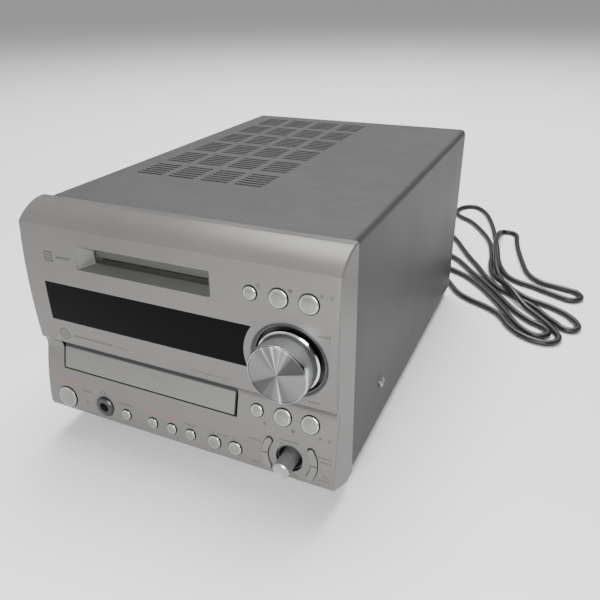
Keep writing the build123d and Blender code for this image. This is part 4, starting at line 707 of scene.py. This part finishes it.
def lathe(name, origin, axis, profile, steps=48):
    """A closed profile of radius and height in millimetres, turned round an axis."""
    side = axis.cross(Vector((0, 0, 1))).normalized()
    other = axis.cross(side)
    points, faces = [], []
    count = len(profile)
    for step in range(steps):
        angle = 2 * math.pi * step / steps
        out = side * math.cos(angle) + other * math.sin(angle)
        points += [origin + out * (radius * MM) + axis * (height * MM) for radius, height in profile]
        here, after = step * count, (step + 1) % steps * count
        for index in range(count):
            following = (index + 1) % count
            faces.append((here + index, here + following, after + following, after + index))
    mesh = solid(name, points, faces)
    mesh.shade_smooth()
    mesh.set_sharp_from_angle(angle=math.radians(38))
    return mesh


PANEL = nodes["front_panel"].data
PANEL_SHAPE = BVHTree.FromPolygons(
    [vertex.co.copy() for vertex in PANEL.vertices],
    [tuple(polygon.vertices) for polygon in PANEL.polygons],
)


def on_face(x, z):
    """The point of the moulded face at a place across and a height, in metres in the frame."""
    start = at(x, -60, z)
    hit = PANEL_SHAPE.ray_cast(start, Vector((0, 1, 0)))[0]
    reach = -face_reach(z)
    if hit is None or abs(hit.y - at(0, reach, 0).y) > 0.4 * MM:
        return at(x, reach, z)
    return hit


def face_tilt(x, z):
    """How far the face leans back at a place, as a turn round the line across."""
    lower, upper = on_face(x, z - 0.5), on_face(x, z + 0.5)
    return -math.atan2(upper.y - lower.y, upper.z - lower.z)


def inlay(name, outlines, finish, proud=0.05):
    """Printed shapes, each a thin slab that follows the face; outlines are in millimetres."""
    points, faces = [], []
    for outline in outlines:
        low = len(points)
        count = len(outline)
        high = low + count
        spots = [on_face(x, z) for x, z in outline]
        points += [spot + Vector((0, proud * MM, 0)) for spot in spots]
        points += [spot - Vector((0, proud * MM, 0)) for spot in spots]
        faces.append(tuple(range(high, high + count)))
        faces.append(tuple(reversed(range(low, high))))
        for index in range(count):
            after = (index + 1) % count
            faces.append((low + index, low + after, high + after, high + index))
    return piece(name, solid(name, points, faces), "root", finish)


def bar(x, z, width, height):
    """An upright rectangle round a place."""
    half_x, half_z = width / 2, height / 2
    left, right, low, high = x - half_x, x + half_x, z - half_z, z + half_z
    return [(left, low), (right, low), (right, high), (left, high)]


def pointer(x, z, size, way):
    """A triangle that points right or up."""
    half = size / 2
    if way == "right":
        return [(x - half, z - half), (x + half, z), (x - half, z + half)]
    return [(x - half, z - half * 0.6), (x + half, z - half * 0.6), (x, z + half * 0.7)]


def band(x, z, radius, width, start, end, steps=14):
    """Part of a ring, from one angle to another in degrees, anticlockwise from the right."""
    angles = [math.radians(start + (end - start) * step / steps) for step in range(steps + 1)]
    inner, outer = radius - width / 2, radius + width / 2
    outline = [(x + outer * math.cos(a), z + outer * math.sin(a)) for a in angles]
    return outline + [(x + inner * math.cos(a), z + inner * math.sin(a)) for a in reversed(angles)]


def full_ring(x, z, radius, width):
    """A ring, as its left and right halves."""
    return [band(x, z, radius, width, -90, 90), band(x, z, radius, width, 90, 270)]


def eject_sign(x, z, size):
    """A triangle over a bar."""
    return [pointer(x, z + 0.22 * size, size, "up"), bar(x, z - 0.38 * size, size, 0.18 * size)]


def play_pause_sign(x, z, size):
    """A triangle, a stroke and two upright bars."""
    low, high = z - size / 2, z + size / 2
    stroke = [(x - 0.1, low), (x + 0.2, low), (x + 0.9, high), (x + 0.6, high)]
    pause = [bar(x + 2.1, z, 0.55, size), bar(x + 3.2, z, 0.55, size)]
    return [pointer(x - 2.2, z, size, "right"), stroke, *pause]


def frame_lines(x, z, width, height, line):
    """The four sides of a rectangle."""
    half_x, half_z = (width - line) / 2, (height - line) / 2
    upright = [bar(x + side * half_x, z, line, height) for side in (-1, 1)]
    level = [bar(x, z + side * half_z, width - 2 * line, line) for side in (-1, 1)]
    return upright + level


def add_printing():
    """The signs printed on the face: plain pictograms, with no words."""
    dark = [*eject_sign(58.2, 138.1, 2.2), bar(76.0, 138.4, 2.0, 2.0), *play_pause_sign(95.2, 138.5, 2.2)]
    dark += [*eject_sign(58.8, 53.3, 2.0), bar(76.5, 53.3, 1.9, 1.9), *play_pause_sign(95.4, 53.3, 2.0)]
    dark += [bar(25.0, 37.8, 1.7, 0.4), bar(39.6, 38.1, 1.7, 0.4)]
    dark += [bar(39.6, 38.75, 0.4, 0.9), bar(39.6, 37.45, 0.4, 0.9)]
    dark += [band(-56.0, 42.2, 1.5, 0.4, 0, 180), bar(-57.5, 41.6, 0.8, 1.4), bar(-54.5, 41.6, 0.8, 1.4)]
    dark += [*frame_lines(-81.5, 131.2, 6.2, 6.4, 0.9), *full_ring(-81.5, 131.2, 1.4, 0.8)]
    dark += [*full_ring(-80.4, 79.2, 3.6, 1.0), *full_ring(-80.4, 79.2, 1.2, 0.8)]
    dark += frame_lines(79.2, 25.4, 3.6, 1.6, 0.3)
    inlay("printed_signs", dark, "print_ink")
    red = [band(-85.4, 43.2, 1.5, 0.4, 120, 420), bar(-85.4, 44.5, 0.4, 1.6)]
    inlay("power_sign", red, "print_red")


def on_bow(x, z):
    """A point on the face's own curve, also where the panel has a hole."""
    return at(x, -face_reach(z), z)


def bow_normal(z):
    """The way the face's own curve looks at a height."""
    rise = face_reach(z + 0.5) - face_reach(z - 0.5)
    return Vector((0.0, -1.0, -rise)).normalized()


# Each button's hole radius, its place across, its height and the width of the painted shadow ring round the
# hole
BUTTON_HOLES = {
    "md_eject_button": (4.2, 53.6, 133.3, 0.15),
    "md_stop_button": (5.6, 69.6, 133.3, 0.15),
    "md_play_button": (5.7, 86.2, 133.3, 0.15),
    "cd_eject_button": (4.2, 53.6, 59.6, 0.15),
    "cd_stop_button": (5.6, 69.6, 59.6, 0.15),
    "cd_play_button": (5.7, 86.2, 59.6, 0.15),
    "power_button": (7.6, -85.9, 31.7, 0.1),
    "timer_button": (3.8, -38.1, 31.7, 0.12),
    "record_button": (3.8, -17.8, 31.7, 0.12),
    "dubbing_button": (3.8, -3.8, 31.7, 0.12),
    "tone_button": (3.8, 9.8, 31.7, 0.12),
    "preset_down_button": (4.7, 26.5, 31.7, 0.12),
    "preset_up_button": (4.7, 40.6, 31.7, 0.12),
}


def rim_profile(cap):
    """Half of a plated rim's section on a domed cap of a given radius, as radius and height."""
    ball = (cap**2 + BUTTON_DOME**2) / (2 * BUTTON_DOME)
    inner, outer = cap - BUTTON_RIM, cap + 0.25
    crown = BUTTON_PROUD - ball + math.sqrt(ball**2 - inner**2) + 0.02
    profile = [(inner - 0.5, crown - 0.3), (inner, crown)]
    for degrees in range(15, 91, 15):
        angle = math.radians(degrees)
        across = inner + (outer - inner) * math.sin(angle)
        profile.append((across, 0.3 + (crown - 0.3) * math.cos(angle)))
    return [*profile, (outer, -0.5), (inner - 0.5, -0.5)]


def add_button_rims():
    """A plated rounded rim on every round cap, and a painted shadow ring round the hole that it stands in."""
    for name, (hole, x, z, edge) in BUTTON_HOLES.items():
        origin, way = on_bow(x, z), bow_normal(z)
        rim = lathe(f"{name}_rim", origin, way, rim_profile(hole - BUTTON_GAP))
        piece(f"{name}_rim", rim, name, "cap_plating")
        # A thin dark ring painted on the face round each hole as its shadow
        near, far = hole - 0.05, hole + edge
        profile = [(near, -0.25), (far, -0.25), (far, 0.035), (near, 0.035)]
        ring = lathe(f"{name}_hole_shadow", origin, way, profile)
        piece(f"{name}_hole_shadow", ring, "root", "gap_shadow")


def add_lamp():
    """The standby lamp: a small red lens in the face."""
    profile = [(0, 0.45), (0.5, 0.38), (0.95, 0.05), (0.95, -0.4), (0, -0.4)]
    lens = lathe("standby_lamp", on_bow(-69.9, 31.6), bow_normal(31.6), profile, 24)
    piece("standby_lamp", lens, "root", "lamp_red")


# Geometry trees for what repeats

def geometry_tree(name, numbers):
    """A geometry tree with its place, turn, numbers and material as inputs, and nothing in it yet."""
    tree = bpy.data.node_groups.new(name, "GeometryNodeTree")
    tree.interface.new_socket("Geometry", in_out="INPUT", socket_type="NodeSocketGeometry")
    add_inputs(tree, ["Place", "Turn"], numbers)
    tree.interface.new_socket("Material", in_out="INPUT", socket_type="NodeSocketMaterial")
    tree.interface.new_socket("Geometry", in_out="OUTPUT", socket_type="NodeSocketGeometry")
    return tree, tree.nodes.new("NodeGroupInput").outputs, tree.nodes.new("NodeGroupOutput").inputs


def set_down(tree, given, result, instances):
    """Ends a tree: what it made is turned and moved to its place, made real and given its finish."""
    inputs = {"Geometry": instances, "Translation": given["Place"], "Rotation": given["Turn"]}
    placed = give(tree, "GeometryNodeTransform", inputs)
    real = give(tree, "GeometryNodeRealizeInstances", {0: placed})
    inputs = {"Geometry": real, "Material": given["Material"]}
    dressed = give(tree, "GeometryNodeSetMaterial", inputs)
    tree.links.new(dressed, result[0])
    return tree


def make_bar_row():
    """A row of bars on one line; each may be taller than the last and wider or narrower by chance."""
    numbers = {"Count": 5, "Pitch": 0.0017, "Width": 0.0012, "Height": 0.0008}
    numbers |= {"Growth": 0.0, "Depth": 0.0001, "Spread": 0.4, "Seed": 3}
    tree, given, result = geometry_tree("bar_row", numbers)
    step = give(tree, "ShaderNodeCombineXYZ", {"X": given["Pitch"]})
    line = give(tree, "GeometryNodeMeshLine", {"Count": given["Count"], "Offset": step})
    index = give(tree, "GeometryNodeInputIndex")
    height = calc(tree, "MULTIPLY_ADD", index, given["Growth"])
    tree.links.new(given["Height"], height.node.inputs[2])
    least = calc(tree, "SUBTRACT", 1.0, given["Spread"])
    chance = put(tree, "FunctionNodeRandomValue", {"Seed": given["Seed"]}, data_type="FLOAT")
    tree.links.new(least, chance.inputs[2])
    chance.inputs[3].default_value = 1.0
    width = calc(tree, "MULTIPLY", chance.outputs[1], given["Width"])
    lift = give(tree, "ShaderNodeCombineXYZ", {"Z": calc(tree, "MULTIPLY", height, 0.5)})
    spots = give(tree, "GeometryNodeSetPosition", {"Geometry": line, "Offset": lift})
    size = give(tree, "ShaderNodeCombineXYZ", {"X": width, "Y": given["Depth"], "Z": height})
    cube = give(tree, "GeometryNodeMeshCube", {"Size": (1.0, 1.0, 1.0)})
    inputs = {"Points": spots, "Instance": cube, "Scale": size}
    bars = give(tree, "GeometryNodeInstanceOnPoints", inputs)
    return set_down(tree, given, result, bars)


def make_rib_ring():
    """Upright ribs round a circle, as on a grip that is turned by hand."""
    numbers = {"Count": 18, "Radius": 0.005, "Rib Width": 0.0008, "Rib Height": 0.0008, "Length": 0.008}
    tree, given, result = geometry_tree("rib_ring", numbers)
    inputs = {"Vertices": given["Count"], "Radius": given["Radius"]}
    circle = give(tree, "GeometryNodeMeshCircle", inputs)
    spot = give(tree, "GeometryNodeInputPosition")
    outward = give(tree, "FunctionNodeAlignRotationToVector", {"Vector": spot}, axis="X")
    sides = (("X", "Rib Height"), ("Y", "Rib Width"), ("Z", "Length"))
    size = give(tree, "ShaderNodeCombineXYZ", {side: given[name] for side, name in sides})
    cube = give(tree, "GeometryNodeMeshCube", {"Size": (1.0, 1.0, 1.0)})
    inputs = {"Points": circle, "Instance": cube, "Rotation": outward, "Scale": size}
    ribs = give(tree, "GeometryNodeInstanceOnPoints", inputs)
    return set_down(tree, given, result, ribs)


def make_ring_row():
    """A row of round rings on one line."""
    numbers = {"Count": 4, "Pitch": 0.016, "Radius": 0.005, "Thickness": 0.0008}
    tree, given, result = geometry_tree("ring_row", numbers)
    step = give(tree, "ShaderNodeCombineXYZ", {"X": given["Pitch"]})
    line = give(tree, "GeometryNodeMeshLine", {"Count": given["Count"], "Offset": step})
    inputs = {"Resolution": 40, "Radius": given["Radius"]}
    path = give(tree, "GeometryNodeCurvePrimitiveCircle", inputs)
    inputs = {"Resolution": 12, "Radius": given["Thickness"]}
    section = give(tree, "GeometryNodeCurvePrimitiveCircle", inputs)
    inputs = {"Curve": path, "Profile Curve": section}
    tube = give(tree, "GeometryNodeCurveToMesh", inputs)
    smooth = give(tree, "GeometryNodeSetShadeSmooth", {"Geometry": tube})
    inputs = {"Points": line, "Instance": smooth}
    rings = give(tree, "GeometryNodeInstanceOnPoints", inputs)
    return set_down(tree, given, result, rings)


BAR_ROW = make_bar_row()
RIB_RING = make_rib_ring()
RING_ROW = make_ring_row()


def grow(name, tree, values, finish):
    """Runs a geometry tree with given sizes and keeps what it makes as a plain mesh on the case."""
    source = new_object(f"{name}_source", bpy.data.meshes.new(f"{name}_source"))
    modifier = source.modifiers.new("grown", "NODES")
    modifier.node_group = tree
    values = {**values, "Material": FINISHES[finish]}
    for item in tree.interface.items_tree:
        if item.item_type == "SOCKET" and item.in_out == "INPUT" and item.name in values:
            modifier[item.identifier] = values[item.name]
    shown = source.evaluated_get(bpy.context.evaluated_depsgraph_get())
    mesh = bpy.data.meshes.new_from_object(shown)
    mesh.name = name
    source.modifiers.clear()
    bpy.data.objects.remove(source)
    return piece(name, mesh, "root", finish)


def face_row(name, x, z, length, finish, height=0.85, pitch=1.7, seed=1, **more):
    """A row of small bars on the face, from a place to the right of it."""
    middle = x + length / 2
    place = on_face(middle, z)
    values = {
        "Place": (x * MM + 0.5 * pitch * MM, place.y, place.z),
        "Turn": (face_tilt(middle, z), 0.0, 0.0),
        "Count": max(2, round(length / pitch)),
        "Pitch": pitch * MM,
        "Width": 0.82 * pitch * MM,
        "Height": height * MM,
        "Seed": seed,
    }
    values.update(more)
    return grow(name, BAR_ROW, values, finish)


def add_captions():
    """Rows of plain dashes where small captions stand, and the wedge of bars by the volume knob."""
    wedge = {"Growth": 0.00021, "Width": 0.00065, "Spread": 0.0}
    face_row("volume_wedge", 88.6, 116.6, 9.8, "print_ink", 0.35, 1.2, 1, **wedge)
    rows = (
        ("knob_caption", 85.7, 75.7, 6.6), ("window_caption", 11.6, 76.4, 26.6),
        ("left_upper_caption", 48.4, 41.2, 8.9), ("left_lower_caption", 51.4, 26.7, 5.4),
        ("right_upper_caption", 92.3, 41.9, 7.7), ("right_upper_caption_2", 93.5, 39.3, 6.7),
        ("right_lower_caption", 95.3, 30.1, 4.1), ("right_lower_caption_2", 93.0, 27.5, 6.1),
        ("selector_caption", 68.7, 46.1, 11.8), ("selector_caption_2", 68.6, 43.9, 2.7),
        ("lamp_caption", -73.7, 39.3, 8.4), ("timer_caption", -45.2, 38.0, 11.9),
        ("tone_caption", 5.3, 37.7, 7.7), ("preset_caption", 28.9, 37.5, 6.8),
        ("md_caption", -75.4, 130.8, 10.5), ("cd_caption", -73.7, 78.6, 31.1),
        ("cd_caption_thin", -41.5, 78.6, 9.5),
    )
    heights = {"window_caption": 0.5, "cd_caption_thin": 0.5, "cd_caption": 1.3, "md_caption": 1.5}
    for seed, (name, x, z, length) in enumerate(rows):
        face_row(name, x, z, length, "print_ink", heights.get(name, 0.85), seed=seed)
    face_row("record_caption", -24.7, 37.9, 12.0, "print_red", seed=31)
    face_row("dubbing_caption", -9.0, 37.7, 7.7, "print_red", seed=32)
    face_row("power_caption", -93.7, 42.7, 6.2, "print_red", seed=33)
    face_row("power_caption_2", -82.5, 42.7, 6.2, "print_red", seed=34)


def add_rear_details():
    """Grips on the speaker terminals, coloured rings on the line jacks, and small marks beside them."""
    on_edge = (math.pi / 2, 0.0, 0.0)
    for number, x in enumerate(POSTS):
        values = {"Place": tuple(at(x, CASE_DEPTH + 9.3, 40)), "Turn": on_edge}
        finish = "ring_red" if number % 2 == 0 else "terminal_block"
        grow(f"terminal_grip_{number + 1}", RIB_RING, values, finish)
    for name, z, finish in (("upper", 101.0, "ring_white"), ("lower", 85.0, "ring_red")):
        values = {"Place": tuple(at(-73, CASE_DEPTH + 2.3, z)), "Turn": on_edge, "Radius": 0.0052}
        grow(f"{name}_jack_rings", RING_ROW, values, finish)
    marks = (
        ("speaker_marks", -82, 21.5, 12), ("speaker_marks_2", -52, 21.5, 12),
        ("jack_marks", -82, 116.2, 14), ("jack_marks_2", -48, 116.2, 16),
        ("antenna_marks", 36, 126.2, 8), ("antenna_marks_2", 62, 126.2, 12),
        ("cord_marks", 23, 15.6, 14),
    )
    for seed, (name, x, z, length) in enumerate(marks):
        values = {
            "Place": tuple(at(x, CASE_DEPTH, z)),
            "Count": round(length / 1.9),
            "Pitch": 1.9 * MM,
            "Width": 1.6 * MM,
            "Height": 1.1 * MM,
            "Seed": seed,
        }
        grow(name, BAR_ROW, values, "print_pale")


# The stage

def add_stage():
    """A pale floor that runs on to the horizon."""
    mesh = bpy.data.meshes.new("floor")
    reach = 30.0
    corners = [(-reach, -reach, 0), (reach, -reach, 0), (reach, reach, 0), (-reach, reach, 0)]
    mesh.from_pydata(corners, [], [(0, 1, 2, 3)])
    floor = new_object("floor", mesh)
    material = bpy.data.materials.new("pale_floor")
    material.use_nodes = True
    shader = material.node_tree.nodes["Principled BSDF"]
    shader.inputs["Base Color"].default_value = rgba(0.74)
    shader.inputs["Roughness"].default_value = 0.9
    mesh.materials.append(material)


def add_light(name, place, target, size, power):
    """A soft square light that looks at a point."""
    data = bpy.data.lights.new(name, "AREA")
    data.size = size
    data.energy = power
    turn = (Vector(target) - Vector(place)).to_track_quat("-Z", "Y")
    new_object(name, data).matrix_world = Matrix.Translation(Vector(place)) @ turn.to_matrix().to_4x4()


def ease(tree, value, low, high, start=0.0, end=1.0):
    """A value eased from a start at its low end to an end at its high end."""
    inputs = {"Value": value, "From Min": low, "From Max": high, "To Min": start, "To Max": end}
    return put(tree, "ShaderNodeMapRange", inputs, interpolation_type="SMOOTHSTEP").outputs["Result"]


def add_lights():
    """A near key light, a broad one overhead, and a room that is brightest in front and seen evenly pale."""
    world = bpy.data.worlds.new("pale_room")
    world.use_nodes = True
    tree = world.node_tree
    background = tree.nodes["Background"]
    way = put(tree, "ShaderNodeTexCoord").outputs["Generated"]
    split = put(tree, "ShaderNodeSeparateXYZ", {0: way})
    front = ease(tree, split.outputs["Y"], -0.9, 0.3, 1.6, 0.10)
    left = ease(tree, split.outputs["X"], -0.1, 0.45, 1.0, 0.02)
    inputs = {"Factor": ease(tree, split.outputs["Z"], 0.25, 0.85), "A": calc(tree, "MULTIPLY", front, left)}
    strength = give(tree, "ShaderNodeMix", {**inputs, "B": 0.5}, data_type="FLOAT")
    seen = put(tree, "ShaderNodeLightPath").outputs["Is Camera Ray"]
    inputs = {"Factor": seen, "A": strength, "B": 0.72}
    shown = give(tree, "ShaderNodeMix", inputs, data_type="FLOAT")
    tree.links.new(shown, background.inputs["Strength"])
    background.inputs["Color"].default_value = rgba(1.0)
    bpy.context.scene.world = world
    add_light("key_light", (0.175, -0.63, 0.28), (0.05, -0.14, 0.08), 0.29, 5.6)
    add_light("overhead_light", (-0.1, 0.75, 2.1), (0.0, 0.15, 0.08), 1.8, 118)


add_camera()
CORD = mains_cord()
finish_nodes()
add_printing()
add_button_rims()
add_lamp()
add_captions()
add_rear_details()
CORD.data.materials.append(FINISHES["cord_vinyl"])
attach(CORD, "root")
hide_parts("power_cord", "cord_hank")
add_stage()
add_lights()
